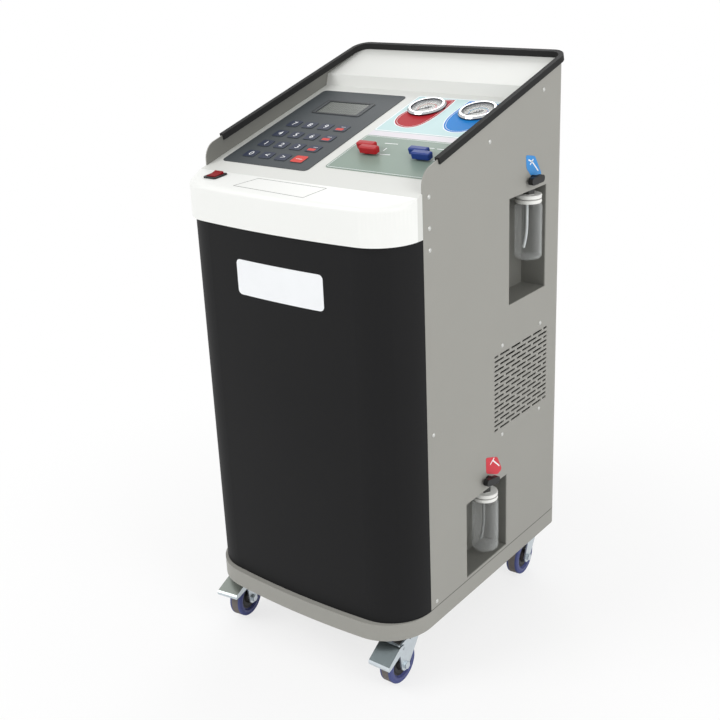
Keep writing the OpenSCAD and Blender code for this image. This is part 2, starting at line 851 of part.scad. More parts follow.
module power_rocker() {
    r = 46;
    half = rocker_w / 2 - rocker_gap;
    color([0.69, 0.1, 0.14]) at_switch() translate([0, 0, rocker_z]) rotate([rocker_tilt, 0, 0])
    difference() {
        along_x(-half, half) difference() {
            intersection() {
                translate([-rocker_l / 2 + 1, -6]) square([rocker_l - 2, 14]);
                translate([0, -r + 5]) circle(r = r + 1.5);
            }
            translate([0, r + 3]) circle(r = r);
        }
        rotate([0, 90, 0]) cylinder(r = rocker_pin_r + run_fit, h = 2 * rocker_w, center = true);
    }
}

niche_wall = 1.5;
stub_r = 7;

// Sheet box behind a niche's mouth, open to the panel
module niche_box(upper) {
    w = upper ? upper_niche_w : lower_niche_w;
    h = upper ? upper_niche_h : lower_niche_h;
    v = upper ? upper_niche_v : lower_niche_v;
    z = upper ? upper_niche_z : lower_niche_z;
    floor_wall = upper ? niche_wall : min(niche_wall, z - tray_top - sheet - seam);
    color(steel) difference() {
        translate([half_w - niche_d - niche_wall, front_y + v - w / 2 - niche_wall, z - floor_wall])
            cube([niche_d + niche_wall - sheet, w + 2 * niche_wall, h + floor_wall + niche_wall]);
        translate([half_w - niche_d, front_y + v - w / 2, z]) cube([niche_d, w, h]);
        at_bottle(upper) cylinder(r = stub_r + hole_gap, h = 40);
    }
}

module upper_niche() {
    niche_box(true);
}

module lower_niche() {
    niche_box(false);
}

// Places children at the top of a bottle's cap
module at_bottle(upper) {
    translate([half_w - bottle_in, front_y + bottle_v(upper), cap_top(upper)]) children();
}

cap_r = 24;
cap_t = 1;
neck_r = cap_r - cap_t - 0.5;
cap_shell = 2;
neck_h = cap_h - cap_shell + 1;

// Lid with rolled rings, its filler stub through the niche's ceiling and its dip tube
module bottle_cap(upper) {
    gap = upper ? upper_cap_gap : lower_cap_gap;
    at_bottle(upper) {
        rotate_extrude() difference() {
            union() {
                translate([0, -cap_h]) square([cap_r - 0.8, cap_h]);
                for (k = [0 : 2]) translate([cap_r - 1.6, -cap_h + 2.2 + k * (cap_h - 4.4) / 2])
                    circle(r = 1.6, $fn = 24);
            }
            translate([-cap_r, -2 * cap_h]) square([cap_r, 3 * cap_h]);
            translate([-1, -cap_h - 1]) square([neck_r + 0.4 + 1, cap_h + 1 - cap_shell]);
        }
        cylinder(r = stub_r, h = gap + niche_wall + 8);
        cylinder(r = 2 * stub_r - 2, h = gap, $fn = 6);
        dip_tube();
    }
}

tube_r = 2.6;
tube_straight = 52;
tube_bend = 150;
tube_angle = 17;
tube_end = 6;

// Tube that hangs down inside a bottle and bends to its wall
module dip_tube() {
    translate([0, -5, -cap_shell + eps]) rotate([0, 0, 60]) {
        translate([0, 0, -tube_straight]) cylinder(r = tube_r, h = tube_straight, $fn = 24);
        translate([-tube_bend, 0, -tube_straight]) {
            rotate([-90, 0, 0]) rotate_extrude(angle = tube_angle, $fn = 96)
                translate([tube_bend, 0]) circle(r = tube_r, $fn = 24);
            rotate([0, -tube_angle, 0]) translate([tube_bend, 0, -tube_end])
                cylinder(r = tube_r, h = tube_end, $fn = 24);
        }
    }
}

module bottle_caps() {
    color([0.9, 0.9, 0.88]) for (upper = [true, false]) bottle_cap(upper);
}

// Clear jar that screws up into its lid
module bottle(upper) {
    heel = 6;
    top = -cap_shell - 0.4;
    low = top - bottle_h + cap_shell;
    shoulder = top - neck_h;
    color([0.85, 0.9, 0.9, 0.4]) at_bottle(upper) rotate_extrude() difference() {
        bottle_profile(bottle_r, neck_r, low, shoulder, top, heel);
        bottle_profile(bottle_r - bottle_wall, neck_r - bottle_wall, low + bottle_wall + 1.4,
            shoulder - bottle_wall, top + 1, heel - bottle_wall);
    }
}

module bottle_profile(r, neck, low, shoulder, top, heel) {
    slope_h = r - neck;
    square_low = low + heel;
    translate([0, low]) square([r - heel, top - low]);
    translate([0, square_low]) square([r, shoulder - slope_h - square_low - 2]);
    intersection() {
        translate([r - heel, square_low]) circle(r = heel);
        square([4 * r, 1000], center = true);
    }
    start = shoulder - slope_h - 3;
    polygon([[0, start], [r, start], [neck, shoulder], [neck, top], [0, top]]);
}

module upper_bottle() {
    bottle(true);
}

module lower_bottle() {
    bottle(false);
}

// Places children on the panel at an oil knob, with z pointing out of the panel
module at_oil_knob(upper) {
    translate([half_w, front_y + knob_v(upper), knob_z(upper)]) rotate([0, 90, 0]) children();
}

module oil_valves() {
    color([0.78, 0.66, 0.36]) for (upper = [true, false]) at_oil_knob(upper) {
        translate([0, 0, -sheet - 26]) cylinder(r = 9, h = 26);
        translate([0, 0, -sheet - eps]) cylinder(r = oil_stem_r, h = sheet + knob_reach - 3);
        translate([0, 0, -sheet - 13]) rotate([90, 0, 0]) cylinder(r = 5, h = 40, center = true);
    }
}

// Winged knob on the end of an oil valve's stem
module oil_knob(upper, turn) {
    gap = 0.6;
    color([0.08, 0.08, 0.08]) at_oil_knob(upper) rotate([0, 0, turn]) difference() {
        union() {
            translate([0, 0, gap]) cylinder(r = wing_h * 0.62, h = knob_reach - gap - 2);
            translate([0, 0, 5]) linear_extrude(knob_reach - 5) slot_y(wing_l, wing_h);
        }
        translate([0, 0, -1]) cylinder(r = oil_stem_r + run_fit, h = knob_reach - 1.7);
    }
}

// Slot lying along the second axis
module slot_y(l, w) {
    rotate([0, 0, 90]) slot(l, w);
}

module upper_oil_knob() {
    oil_knob(true, 0);
}

module lower_oil_knob() {
    oil_knob(false, -12);
}

// Pan-head screw with its head on the plane z = 0 and its shank below
module screw(shank) {
    rotate_extrude() difference() {
        union() {
            intersection() {
                translate([0, -3]) circle(r = 5.2);
                square([screw_head_r, screw_head_h]);
            }
            translate([0, -shank]) square([screw_r, shank + eps]);
        }
        translate([-10, -50]) square([10, 100]);
    }
}

module panel_screws() {
    shank = 2 * sheet + console_t;
    color(zinc) {
        for (p = side_screws(), s = [-1, 1]) translate([s * half_w, front_y + p[0], p[1]])
            rotate([0, s * 90, 0]) screw(shank);
        for (p = fan_screws()) translate([half_w, front_y + p[0], p[1]]) rotate([0, 90, 0]) screw(3 * sheet);
    }
}

shroud_gap = 16;
shroud_t = 3;
shroud_x = half_w - sheet - shroud_gap;
ring_gap = 4;
ring_d = 42;
motor_r = 26;
motor_l = 30;

// Places children at the fan, with z pointing out through the vent
module at_fan() {
    translate([shroud_x, front_y + vent_v, vent_z]) rotate([0, 90, 0]) children();
}

module fan_frame() {
    inner = fan_r + ring_gap;
    color([0.25, 0.25, 0.26]) at_fan() {
        difference() {
            union() {
                translate([0, 0, -shroud_t]) linear_extrude(shroud_t)
                    round_rect(fan_screw_dz + 24, fan_screw_dy + 24, 8);
                translate([0, 0, -ring_d]) cylinder(r = inner + 3, h = ring_d);
            }
            translate([0, 0, -2 * ring_d]) cylinder(r = inner, h = 3 * ring_d);
            fan_bosses(2 * ring_d) circle(r = screw_r + hole_gap);
        }
        difference() {
            fan_bosses(shroud_gap) circle(r = 6);
            fan_bosses(shroud_gap + 1) circle(r = screw_r + hole_gap);
        }
        translate([0, 0, -ring_d - motor_l + 8]) cylinder(r = motor_r, h = motor_l);
        for (k = [0 : 2]) rotate([0, 0, 120 * k + 30]) translate([motor_r - 2, -4, -ring_d])
            cube([inner - motor_r + 4, 8, 6]);
        translate([0, 0, -ring_d + 8 - eps]) cylinder(r = fan_shaft_r, h = ring_d - 14);
    }
}

module fan_bosses(h) {
    for (i = [-1, 1], j = [-1, 1]) translate([i * fan_screw_dz / 2, j * fan_screw_dy / 2, 0])
        linear_extrude(h) children();
}

module fan_rotor() {
    hub_r = 20;
    h = 22;
    color([0.15, 0.15, 0.16]) at_fan() translate([0, 0, -ring_d + 9]) difference() {
        union() {
            cylinder(r = hub_r, h = h);
            for (k = [0 : fan_blades - 1]) rotate([0, 0, k * 360 / fan_blades]) intersection() {
                translate([0, 0, h / 2]) rotate([32, 0, 0]) cube([4 * fan_r, 300, 2], center = true);
                translate([0, 0, 1]) linear_extrude(h - 2) blade_sector(hub_r);
            }
        }
        translate([0, 0, -1]) cylinder(r = fan_shaft_r + run_fit, h = 3 * h);
    }
}

// Sector that one blade fills, seen along the shaft
module blade_sector(hub_r) {
    intersection() {
        circle(r = fan_r);
        polygon([[hub_r - 4, -9], [fan_r + 5, -20], [fan_r + 5, 20], [hub_r - 4, 9]]);
    }
}

core_t = 40;
core_gap = 30;

module condenser() {
    w = fan_screw_dz + 10;
    l = fan_screw_dy + 40;
    depth = ring_d + core_gap;
    color([0.7, 0.71, 0.72]) at_fan() {
        difference() {
            translate([-w / 2, -l / 2, -depth - core_t]) cube([w, l, core_t]);
            for (k = [-14 : 14]) translate([k * 6, 0, -depth])
                cube([2, l - 16, 8], center = true);
        }
        for (s = [-1, 1]) translate([s * (w / 2 - 1), 0, (-depth - shroud_t) / 2])
            cube([2, 60, depth - shroud_t + 2 * eps], center = true);
        for (k = [0 : 5]) translate([(k - 2.5) * 28, l / 2 - eps, -depth - core_t / 2]) rotate([-90, 0, 0])
            rotate_extrude(angle = 180) translate([7, 0]) circle(r = 3.5, $fn = 24);
    }
}

tank_r = 105;
tank_h = 330;
tank_x = -75;
tank_v = 150;
scale_h = 26;
scale_w = 190;
floor_z = castor_h + sheet;

module at_tank() {
    translate([tank_x, front_y + tank_v, floor_z]) children();
}

module tank_bolts() {
    off = scale_w / 2 - 12;
    at_tank() for (i = [-1, 1], j = [-1, 1]) translate([i * off, j * off, 0]) children();
}

module weigh_platform() {
    color([0.72, 0.73, 0.74]) {
        at_tank() {
            translate([0, 0, scale_h - 2]) cube([scale_w, scale_w, 4], center = true);
            translate([0, 0, 2]) cube([scale_w, scale_w, 4], center = true);
            translate([0, 0, scale_h / 2]) cube([130, 26, scale_h - 8 + 2 * eps], center = true);
        }
        tank_bolts() translate([0, 0, -sheet - 3]) cylinder(r = screw_r, h = sheet + 3 + eps);
    }
}

module storage_tank() {
    dome = 40;
    color([0.3, 0.45, 0.62]) at_tank() translate([0, 0, scale_h]) {
        rotate_extrude() difference() {
            union() {
                translate([0, dome + 12]) square([tank_r, tank_h - 2 * dome]);
                for (z = [dome + 12, tank_h - dome + 12]) translate([0, z]) intersection() {
                    translate([0, z > tank_h / 2 ? -tank_r : tank_r]) circle(r = tank_r * 1.38, $fn = 128);
                    translate([0, -dome]) square([tank_r, 2 * dome]);
                }
            }
            translate([-2 * tank_r, -tank_h]) square([2 * tank_r, 3 * tank_h]);
        }
        difference() {
            cylinder(r = tank_r * 0.72, h = 40);
            translate([0, 0, -1]) cylinder(r = tank_r * 0.72 - 3, h = 32);
        }
        translate([0, 0, tank_h + 8]) cylinder(r = 14, h = 36);
        translate([0, 0, tank_h + 34]) rotate([0, 90, 0]) cylinder(r = 8, h = 70, center = true);
    }
}

comp_r = 66;
comp_h = 190;
comp_x = 62;
comp_v = 350;
grommet_h = 14;

module compressor() {
    color(black) translate([comp_x, front_y + comp_v, floor_z]) {
        translate([0, 0, grommet_h]) {
            translate([0, 0, 2]) rotate_extrude() compressor_half();
            translate([0, 0, 1.5]) cube([150, 120, 3], center = true);
            translate([0, 0, comp_h * 0.55]) rotate([90, 0, 200]) cylinder(r = 5, h = comp_r + 18);
            translate([0, 0, comp_h * 0.75]) rotate([90, 0, 240]) cylinder(r = 4, h = comp_r + 18);
        }
        for (i = [-1, 1], j = [-1, 1]) translate([i * 66, j * 50, 0]) cylinder(r = 9, h = grommet_h + eps);
    }
}

module compressor_half() {
    r = 34;
    translate([0, 8]) square([comp_r, comp_h - r - 8]);
    translate([0, comp_h - r - eps]) square([comp_r - r, r + eps]);
    square([comp_r - 10, 20]);
    intersection() {
        translate([comp_r - r, comp_h - r]) circle(r = r);
        square([comp_r, comp_h]);
    }
    translate([0, comp_h * 0.42]) square([comp_r + 4, 6]);
}

module vacuum_pump() {
    color([0.55, 0.13, 0.13]) translate([-150, front_y + 360, floor_z]) {
        for (j = [-1, 1]) translate([-40, j * 50 - 12, 0]) cube([80, 24, 28]);
        translate([0, -80, 62]) rotate([-90, 0, 0]) cylinder(r = 50, h = 110);
        translate([0, 30 - eps, 62]) rotate([-90, 0, 0]) cylinder(r = 38, h = 32);
        translate([-46, -92, 12]) cube([92, 44, 96]);
        translate([0, -70, 100]) cylinder(r = 9, h = 30);
        translate([-5, -40, 108]) cube([10, 60, 26]);
    }
}

drier_r = 32;
drier_z = 470;
drier_x = -90;

module drier_screws() {
    for (j = [-1, 1]) translate([drier_x, rear_y, drier_z + j * 30]) rotate([90, 0, 0]) children();
}

module filter_drier() {
    off = drier_r + 12;
    color([0.75, 0.72, 0.62]) {
        translate([drier_x, rear_y - sheet - off, drier_z]) rotate_extrude()
            polygon([[0, -95], [6, -95], [6, -75], [drier_r, -58], [drier_r, 58], [6, 75], [6, 95], [0, 95]]);
        translate([drier_x - 14, rear_y - sheet - 14, drier_z - 45]) cube([28, 14, 90]);
        drier_screws() translate([0, 0, -3]) cylinder(r = screw_r, h = sheet + 5);
    }
}

inlet_w = 28;
inlet_h = 22;

module power_inlet() {
    color(black) translate([inlet_x, rear_y, inlet_z]) {
        difference() {
            union() {
                translate([0, 1.25, 0]) cube([inlet_w + 22, 2.5, inlet_h + 8], center = true);
                translate([0, -12, 0]) cube([inlet_w - 0.4, 24 + eps, inlet_h - 0.4], center = true);
            }
            translate([0, -4, 0]) cube([inlet_w - 4, 24, inlet_h - 5], center = true);
        }
        for (p = [[-7, -2], [0, 2], [7, -2]]) translate([p[0], -10, p[1]]) cube([2, 14, 4], center = true);
    }
}

// Places children at the rear hose fittings, with z pointing out of the rear
module at_fittings() {
    for (s = [-1, 1]) translate([s * fitting_dx / 2, rear_y, fitting_z]) rotate([-90, 0, 0]) children();
}

module hose_fittings() {
    hex_h = fitting_reach - fitting_l;
    color([0.8, 0.68, 0.38]) at_fittings() difference() {
        union() {
            cylinder(r = 10, h = hex_h, $fn = 6);
            translate([0, 0, hex_h - eps]) cylinder(r = fitting_r, h = fitting_l + eps);
            translate([0, 0, -sheet - 22]) cylinder(r = fitting_r, h = sheet + 22 + eps);
            translate([0, 0, -sheet - 8]) cylinder(r = 10, h = 8, $fn = 6);
        }
        translate([0, 0, -100]) cylinder(r = 2.5, h = 200);
    }
}

// Castor places: x, y and the way the wheel trails
function castor_place(i) =
    i == 0 ? [-castor_x, front_y - castor_lead, 8] :
    i == 1 ? [castor_x, front_y - castor_lead, 0] :
    i == 2 ? [-castor_x, rear_y - castor_rear, -12] : [castor_x, rear_y - castor_rear, 4];

module at_castor(i) {
    p = castor_place(i);
    translate([p[0], p[1], 0]) rotate([0, 0, p[2]]) children();
}

bolt_r = 3;
bolt_dx = 54;
bolt_dy = 46;
plate_w = 70;
plate_l = 62;
plate_t = 3;
race_h = 9;
race_r = 22;
fork_z = castor_h - plate_t - race_h - 0.3;
fork_x = hub_l / 2 + 1.5;
nut_h = 5;

module castor_bolt_places() {
    for (c = [0 : 3]) {
        p = castor_place(c);
        for (i = [-1, 1], j = [-1, 1])
            translate([p[0] + i * bolt_dx / 2, p[1] + j * bolt_dy / 2, castor_h]) children();
    }
}

module castor_plates() {
    color(zinc) difference() {
        for (c = [0 : 3]) {
            p = castor_place(c);
            translate([p[0], p[1], 0]) {
                translate([0, 0, castor_h - plate_t]) linear_extrude(plate_t) round_rect(plate_w, plate_l, 9);
                translate([0, 0, castor_h - plate_t - race_h]) rotate_extrude()
                    polygon([[0, 0], [race_r - 5, 0], [race_r, 4], [race_r, race_h], [0, race_h]]);
                translate([0, 0, fork_z - fork_t - 4.3]) cylinder(r = king_r, h = fork_t + 6);
                translate([0, 0, fork_z - fork_t - 4.3]) cylinder(r = king_r + 3.5, h = 4);
            }
        }
        castor_bolt_places() cylinder(r = bolt_r + hole_gap, h = 30, center = true);
    }
}

module castor_bolts() {
    color(zinc) castor_bolt_places() {
        translate([0, 0, -plate_t - 4]) cylinder(r = 5.5, h = 4, $fn = 6);
        translate([0, 0, -plate_t - eps]) cylinder(r = bolt_r, h = plate_t + sheet + 6);
        translate([0, 0, sheet]) cylinder(r = 5.5, h = 5, $fn = 6);
    }
}

pivot_d = 40;
pivot_z = fork_z - 9;

// Side view of a fork leg, in (distance behind the swivel axis, height)
module leg_view(with_ear) {
    hull() {
        translate([trail, wheel_r]) circle(r = 11);
        translate([-race_r + 2, fork_z - fork_t]) square([2 * race_r - 4, fork_t]);
        if (with_ear) translate([pivot_d, pivot_z]) circle(r = 6.5);
    }
}

// Turns a side view drawn behind the swivel axis into a plate across the castor
module castor_side(x0, x1) {
    rotate([0, 0, 180]) along_x(-x1, -x0) children();
}

module fork(i) {
    with_ear = i < 2;
    color(zinc) at_castor(i) {
        difference() {
            union() {
                translate([0, 0, fork_z - fork_t]) cylinder(r = race_r + 2, h = fork_t);
                translate([-fork_x - fork_t, -race_r + 2, fork_z - fork_t])
                    cube([2 * (fork_x + fork_t), 2 * race_r - 4, fork_t]);
                for (s = [-1, 1]) translate([s * (fork_x + fork_t / 2), 0, 0])
                    castor_side(-fork_t / 2, fork_t / 2) leg_view(with_ear);
            }
            cylinder(r = king_r + run_fit, h = 2 * castor_h);
            at_axle() cylinder(r = axle_r + run_fit, h = 100, center = true);
            if (with_ear) at_pedal_pin() cylinder(r = pedal_pin_r + run_fit, h = 100, center = true);
        }
        at_axle() {
            cylinder(r = axle_r, h = 2 * (fork_x + fork_t + nut_h), center = true);
            for (s = [-1, 1]) translate([0, 0, s * (fork_x + fork_t + nut_h / 2 + run_fit)])
                cylinder(r = 7, h = nut_h, center = true, $fn = 6);
        }
        if (with_ear) at_pedal_pin() cylinder(r = pedal_pin_r, h = pedal_w - 1, center = true);
    }
}

// Places children on the wheel's axle, along it
module at_axle() {
    translate([0, -trail, wheel_r]) rotate([0, 90, 0]) children();
}

module at_pedal_pin() {
    translate([0, -pivot_d, pivot_z]) rotate([0, 90, 0]) children();
}

module front_left_fork() {
    fork(0);
}

module front_right_fork() {
    fork(1);
}

module rear_left_fork() {
    fork(2);
}

module rear_right_fork() {
    fork(3);
}

// Hub, dished web and rim of a castor wheel
module wheel(i) {
    rim_r = wheel_r - tyre_t;
    h = hub_l / 2;
    w = tyre_w / 2;
    color([0.29, 0.31, 0.58]) at_castor(i) at_axle() rotate_extrude()
        polygon([[axle_r + run_fit, -h], [11, -h], [13, -w + 4], [rim_r - 6, -w + 4], [rim_r - 4, -w],
            [rim_r, -w], [rim_r, w], [rim_r - 4, w], [rim_r - 6, w - 4], [13, w - 4], [11, h],
            [axle_r + run_fit, h]]);
}

module front_left_wheel() {
    wheel(0);
}

module front_right_wheel() {
    wheel(1);
}

module rear_left_wheel() {
    wheel(2);
}

module rear_right_wheel() {
    wheel(3);
}

module tyre(i) {
    rim_r = wheel_r - tyre_t;
    w = tyre_w / 2;
    edge = 3;
    color([0.49, 0.46, 0.44]) at_castor(i) at_axle() rotate_extrude() {
        translate([rim_r, -w]) square([tyre_t - edge, tyre_w]);
        translate([rim_r, edge - w]) square([tyre_t, tyre_w - 2 * edge]);
        for (s = [-1, 1]) translate([wheel_r - edge, s * (w - edge)]) circle(r = edge);
    }
}

module front_left_tyre() {
    tyre(0);
}

module front_right_tyre() {
    tyre(1);
}

module rear_left_tyre() {
    tyre(2);
}

module rear_right_tyre() {
    tyre(3);
}

// Brake pedal, turned down from its released place
module pedal(i, press) {
    cheek_t = 2;
    plate = 2.5;
    high = 7.5;
    low = -6;
    reach = pedal_reach - pivot_d;
    color(zinc) at_castor(i) translate([0, -pivot_d, pivot_z]) rotate([press, 0, 0]) difference() {
        union() {
            castor_side(-pedal_w / 2, pedal_w / 2)
                polygon([[6, high - plate], [9, high - plate], [reach - 4, low], [reach, low - 5],
                    [reach, low], [reach - 3, low + plate + 0.6], [10, high], [6, high]]);
            for (s = [-1, 1]) translate([s * (pedal_w - cheek_t) / 2, 0, 0])
                castor_side(-cheek_t / 2, cheek_t / 2) pedal_cheek(high, low, reach);
        }
        rotate([0, 90, 0]) cylinder(r = pedal_pin_r + run_fit, h = 2 * pedal_w, center = true);
    }
}

module pedal_cheek(high, low, reach) {
    circle(r = 6);
    polygon([[-5, 3.5], [2, -5.6], [reach - 8, low - 5], [reach, low - 5], [reach - 3, low + 2],
        [10, high], [3, high]]);
}

module front_left_pedal() {
    pedal(0, 0);
}

module front_right_pedal() {
    pedal(1, pedal_swing);
}

base_tray();
right_side_panel();
left_side_panel();
rear_panel();
front_panel();
front_lip();
top_console();
edge_trim();
keypad_overlay();
lcd_window();
control_board();
gauge_plate();
valve_plate();
gauge_cases();
gauge_dials();
gauge_bezels();
gauge_lenses();
left_needle();
right_needle();
valve_manifold();
left_valve_handle();
right_valve_handle();
switch_housing();
power_rocker();
upper_niche();
lower_niche();
bottle_caps();
upper_bottle();
lower_bottle();
oil_valves();
upper_oil_knob();
lower_oil_knob();
panel_screws();
condenser();
fan_frame();
fan_rotor();
storage_tank();
weigh_platform();
compressor();
vacuum_pump();
filter_drier();
power_inlet();
hose_fittings();
castor_plates();
castor_bolts();
front_left_fork();
front_right_fork();
rear_left_fork();
rear_right_fork();
front_left_wheel();
front_right_wheel();
rear_left_wheel();
rear_right_wheel();
front_left_tyre();
front_right_tyre();
rear_left_tyre();
rear_right_tyre();
front_left_pedal();
front_right_pedal();
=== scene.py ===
import math

import bmesh
import bpy
from mathutils import Matrix, Vector
from mathutils.bvhtree import BVHTree


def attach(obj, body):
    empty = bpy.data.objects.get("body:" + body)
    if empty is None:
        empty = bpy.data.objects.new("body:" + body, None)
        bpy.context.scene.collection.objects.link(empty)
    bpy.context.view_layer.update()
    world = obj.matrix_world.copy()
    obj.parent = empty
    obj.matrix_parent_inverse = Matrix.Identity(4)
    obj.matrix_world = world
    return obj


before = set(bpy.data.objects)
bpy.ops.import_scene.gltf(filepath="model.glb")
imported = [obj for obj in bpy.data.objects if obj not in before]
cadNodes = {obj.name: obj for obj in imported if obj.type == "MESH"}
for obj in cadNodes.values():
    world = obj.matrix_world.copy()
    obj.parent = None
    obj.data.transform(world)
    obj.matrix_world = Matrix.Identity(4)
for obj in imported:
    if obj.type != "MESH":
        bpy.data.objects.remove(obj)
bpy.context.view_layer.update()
scene = bpy.context.scene
scene.view_settings.view_transform = "Standard"
print("frame loaded:", len(cadNodes), "nodes")

# What several pieces share, in millimetres and degrees; castors are (x, y, yaw) of each swivel axis
mm = 0.001
cabinet = {"frontY": -188.75, "halfWidth": 230.0, "bowRadius": 1600.0, "frontNose": 90.0}
console = {"height": 875.5, "slope": 15.4, "film": 1.0, "keyTop": 1.8}
castors = {"front_left": (-185.0, -203.25, 8.0), "front_right": (185.0, -203.25, 0.0),
           "rear_left": (-185.0, 220.25, -12.0), "rear_right": (185.0, 220.25, 4.0)}
cornerSteps = 5


def srgb(r, g, b):
    # 8-bit screen colour to the linear values that sockets take
    scaled = (c / 255 for c in (r, g, b))
    return tuple(c / 12.92 if c < 0.04045 else ((c + 0.055) / 1.055) ** 2.4 for c in scaled) + (1.0,)


def shade(colour, factor):
    return tuple(min(1.0, c * factor) for c in colour[:3]) + (1.0,)


# Camera, set where the photograph was taken from
cameraSet = {"azimuth": 37.991, "elevation": 20.275, "roll": -2.328, "eye": (1.1829, -1.5508, 1.2731),
             "lens": 55.952, "sensor": 36.0, "shift": (-0.0139, -0.0417), "clip": (0.05, 60.0)}


def placeCamera():
    az, el, roll = (math.radians(cameraSet[k]) for k in ("azimuth", "elevation", "roll"))
    back = Vector((math.sin(az) * math.cos(el), -math.cos(az) * math.cos(el), math.sin(el)))
    right = Vector((math.cos(az), math.sin(az), 0))
    up = back.cross(right)
    sideways = right * math.cos(roll) + up * math.sin(roll)
    upright = up * math.cos(roll) - right * math.sin(roll)
    turn = Matrix((sideways, upright, back)).transposed().to_4x4()
    data = bpy.data.cameras.new("photoCamera")
    data.lens = cameraSet["lens"]
    data.sensor_width = cameraSet["sensor"]
    data.shift_x, data.shift_y = cameraSet["shift"]
    data.dof.use_dof = False
    data.clip_start, data.clip_end = cameraSet["clip"]
    camera = bpy.data.objects.new("photoCamera", data)
    camera.matrix_world = Matrix.Translation(cameraSet["eye"]) @ turn
    scene.collection.objects.link(camera)
    scene.camera = camera


placeCamera()
print("camera placed")


# Helpers for shader nodes
def feed(tree, socket, value):
    # a socket takes a link or a fixed value
    if isinstance(value, bpy.types.NodeSocket):
        tree.links.new(value, socket)
    else:
        socket.default_value = value


def mathNode(tree, operation, *values):
    node = tree.nodes.new("ShaderNodeMath")
    node.operation = operation
    for socket, value in zip(node.inputs, values):
        feed(tree, socket, value)
    return node.outputs[0]


def vectorNode(tree, operation, output, *values):
    node = tree.nodes.new("ShaderNodeVectorMath")
    node.operation = operation
    for socket, value in zip(node.inputs, values):
        feed(tree, socket, value)
    return node.outputs[output]


def rampOf(tree, source, low, high, start=0.0, end=1.0, curve="LINEAR"):
    ramp = tree.nodes.new("ShaderNodeMapRange")
    ramp.interpolation_type = curve
    settings = {"Value": source, "From Min": low, "From Max": high, "To Min": start, "To Max": end}
    for name, value in settings.items():
        feed(tree, ramp.inputs[name], value)
    return ramp.outputs["Result"]


def bandOf(tree, source, middle, half):
    return mathNode(tree, "COMPARE", source, middle, half)


def spot(tree, output="Object"):
    return tree.nodes.new("ShaderNodeTexCoord").outputs[output]


def localAxis(tree, output, axis):
    return vectorNode(tree, "DOT_PRODUCT", "Value", spot(tree, output), axis)


def mixColour(tree, factor, a, b):
    mix = tree.nodes.new("ShaderNodeMix")
    mix.data_type = "RGBA"
    for index, value in ((0, factor), (6, a), (7, b)):
        feed(tree, mix.inputs[index], value)
    return mix.outputs[2]


def mixShader(tree, factor, a, b):
    mix = tree.nodes.new("ShaderNodeMixShader")
    for socket, value in zip(mix.inputs, (factor, a, b)):
        tree.links.new(value, socket)
    return mix.outputs[0]


def seenRay(tree):
    # 1 for rays that show the surface in the picture, 0 for those that only light the part
    path = tree.nodes.new("ShaderNodeLightPath").outputs
    direct = mathNode(tree, "MAXIMUM", path["Is Camera Ray"], path["Is Glossy Ray"])
    return mathNode(tree, "MAXIMUM", direct, path["Is Transmission Ray"])


# Studio: pale floor that fades to white, white surroundings, three soft lamps
studio = {"white": (1, 1, 1, 1), "skyStrength": 0.62, "floorSize": 9.0, "floorDrop": 0.0004,
          "floorColour": (0.86, 0.86, 0.86, 1), "floorRough": 0.9, "floorSpecular": 0.1,
          "fade": (0.4, 1.2, 0.74, 1.0), "aim": (0, 0, 0.55),
          "lamps": [("keyLamp", (-1.7, -2.6, 3.0), 2.2, 62), ("sideLamp", (3.0, -0.7, 2.0), 2.0, 44),
                    ("rearLamp", (-1.2, 2.6, 2.4), 2.0, 30)]}


def buildWorld():
    world = bpy.data.worlds.new("whiteRoom")
    world.use_nodes = True
    tree = world.node_tree
    light = tree.nodes["Background"]
    light.inputs["Color"].default_value = studio["white"]
    light.inputs["Strength"].default_value = studio["skyStrength"]
    shown = tree.nodes.new("ShaderNodeBackground")
    shown.inputs["Color"].default_value = studio["white"]
    both = mixShader(tree, seenRay(tree), light.outputs[0], shown.outputs[0])
    tree.links.new(both, tree.nodes["World Output"].inputs["Surface"])
    scene.world = world


def paperFinish():
    paper = bpy.data.materials.new("paperFloor")
    paper.use_nodes = True
    tree = paper.node_tree
    body = tree.nodes["Principled BSDF"]
    body.inputs["Base Color"].default_value = studio["floorColour"]
    body.inputs["Roughness"].default_value = studio["floorRough"]
    body.inputs["Specular IOR Level"].default_value = studio["floorSpecular"]
    glow = tree.nodes.new("ShaderNodeEmission")
    glow.inputs["Color"].default_value = studio["white"]
    away = vectorNode(tree, "LENGTH", "Value", spot(tree))
    fade = rampOf(tree, away, *studio["fade"], curve="SMOOTHSTEP")
    lit = mixShader(tree, fade, body.outputs[0], glow.outputs[0])
    picked = mixShader(tree, seenRay(tree), body.outputs[0], lit)
    tree.links.new(picked, tree.nodes["Material Output"].inputs["Surface"])
    return paper


def buildStudio():
    buildWorld()
    mesh = bpy.data.meshes.new("studioFloor")
    bm = bmesh.new()
    bmesh.ops.create_grid(bm, x_segments=1, y_segments=1, size=studio["floorSize"])
    bmesh.ops.translate(bm, vec=(0, 0, -studio["floorDrop"]), verts=bm.verts)
    bm.to_mesh(mesh)
    bm.free()
    mesh.materials.append(paperFinish())
    floor = bpy.data.objects.new("studioFloor", mesh)
    scene.collection.objects.link(floor)
    for name, place, size, power in studio["lamps"]:
        data = bpy.data.lights.new(name, "AREA")
        data.shape = "DISK"
        data.size = size
        data.energy = power
        lamp = bpy.data.objects.new(name, data)
        lamp.location = place
        lamp.rotation_mode = "QUATERNION"
        lamp.rotation_quaternion = (Vector(studio["aim"]) - Vector(place)).to_track_quat("-Z", "Y")
        scene.collection.objects.link(lamp)


buildStudio()
print("studio lit")

# Finishes: colour that clouds a little, roughness that varies, and a fine grain in relief
texture = {"noiseSpan": (0.3, 0.7), "leastRough": 0.02, "bumpDepth": 0.0002, "coatRough": 0.12}


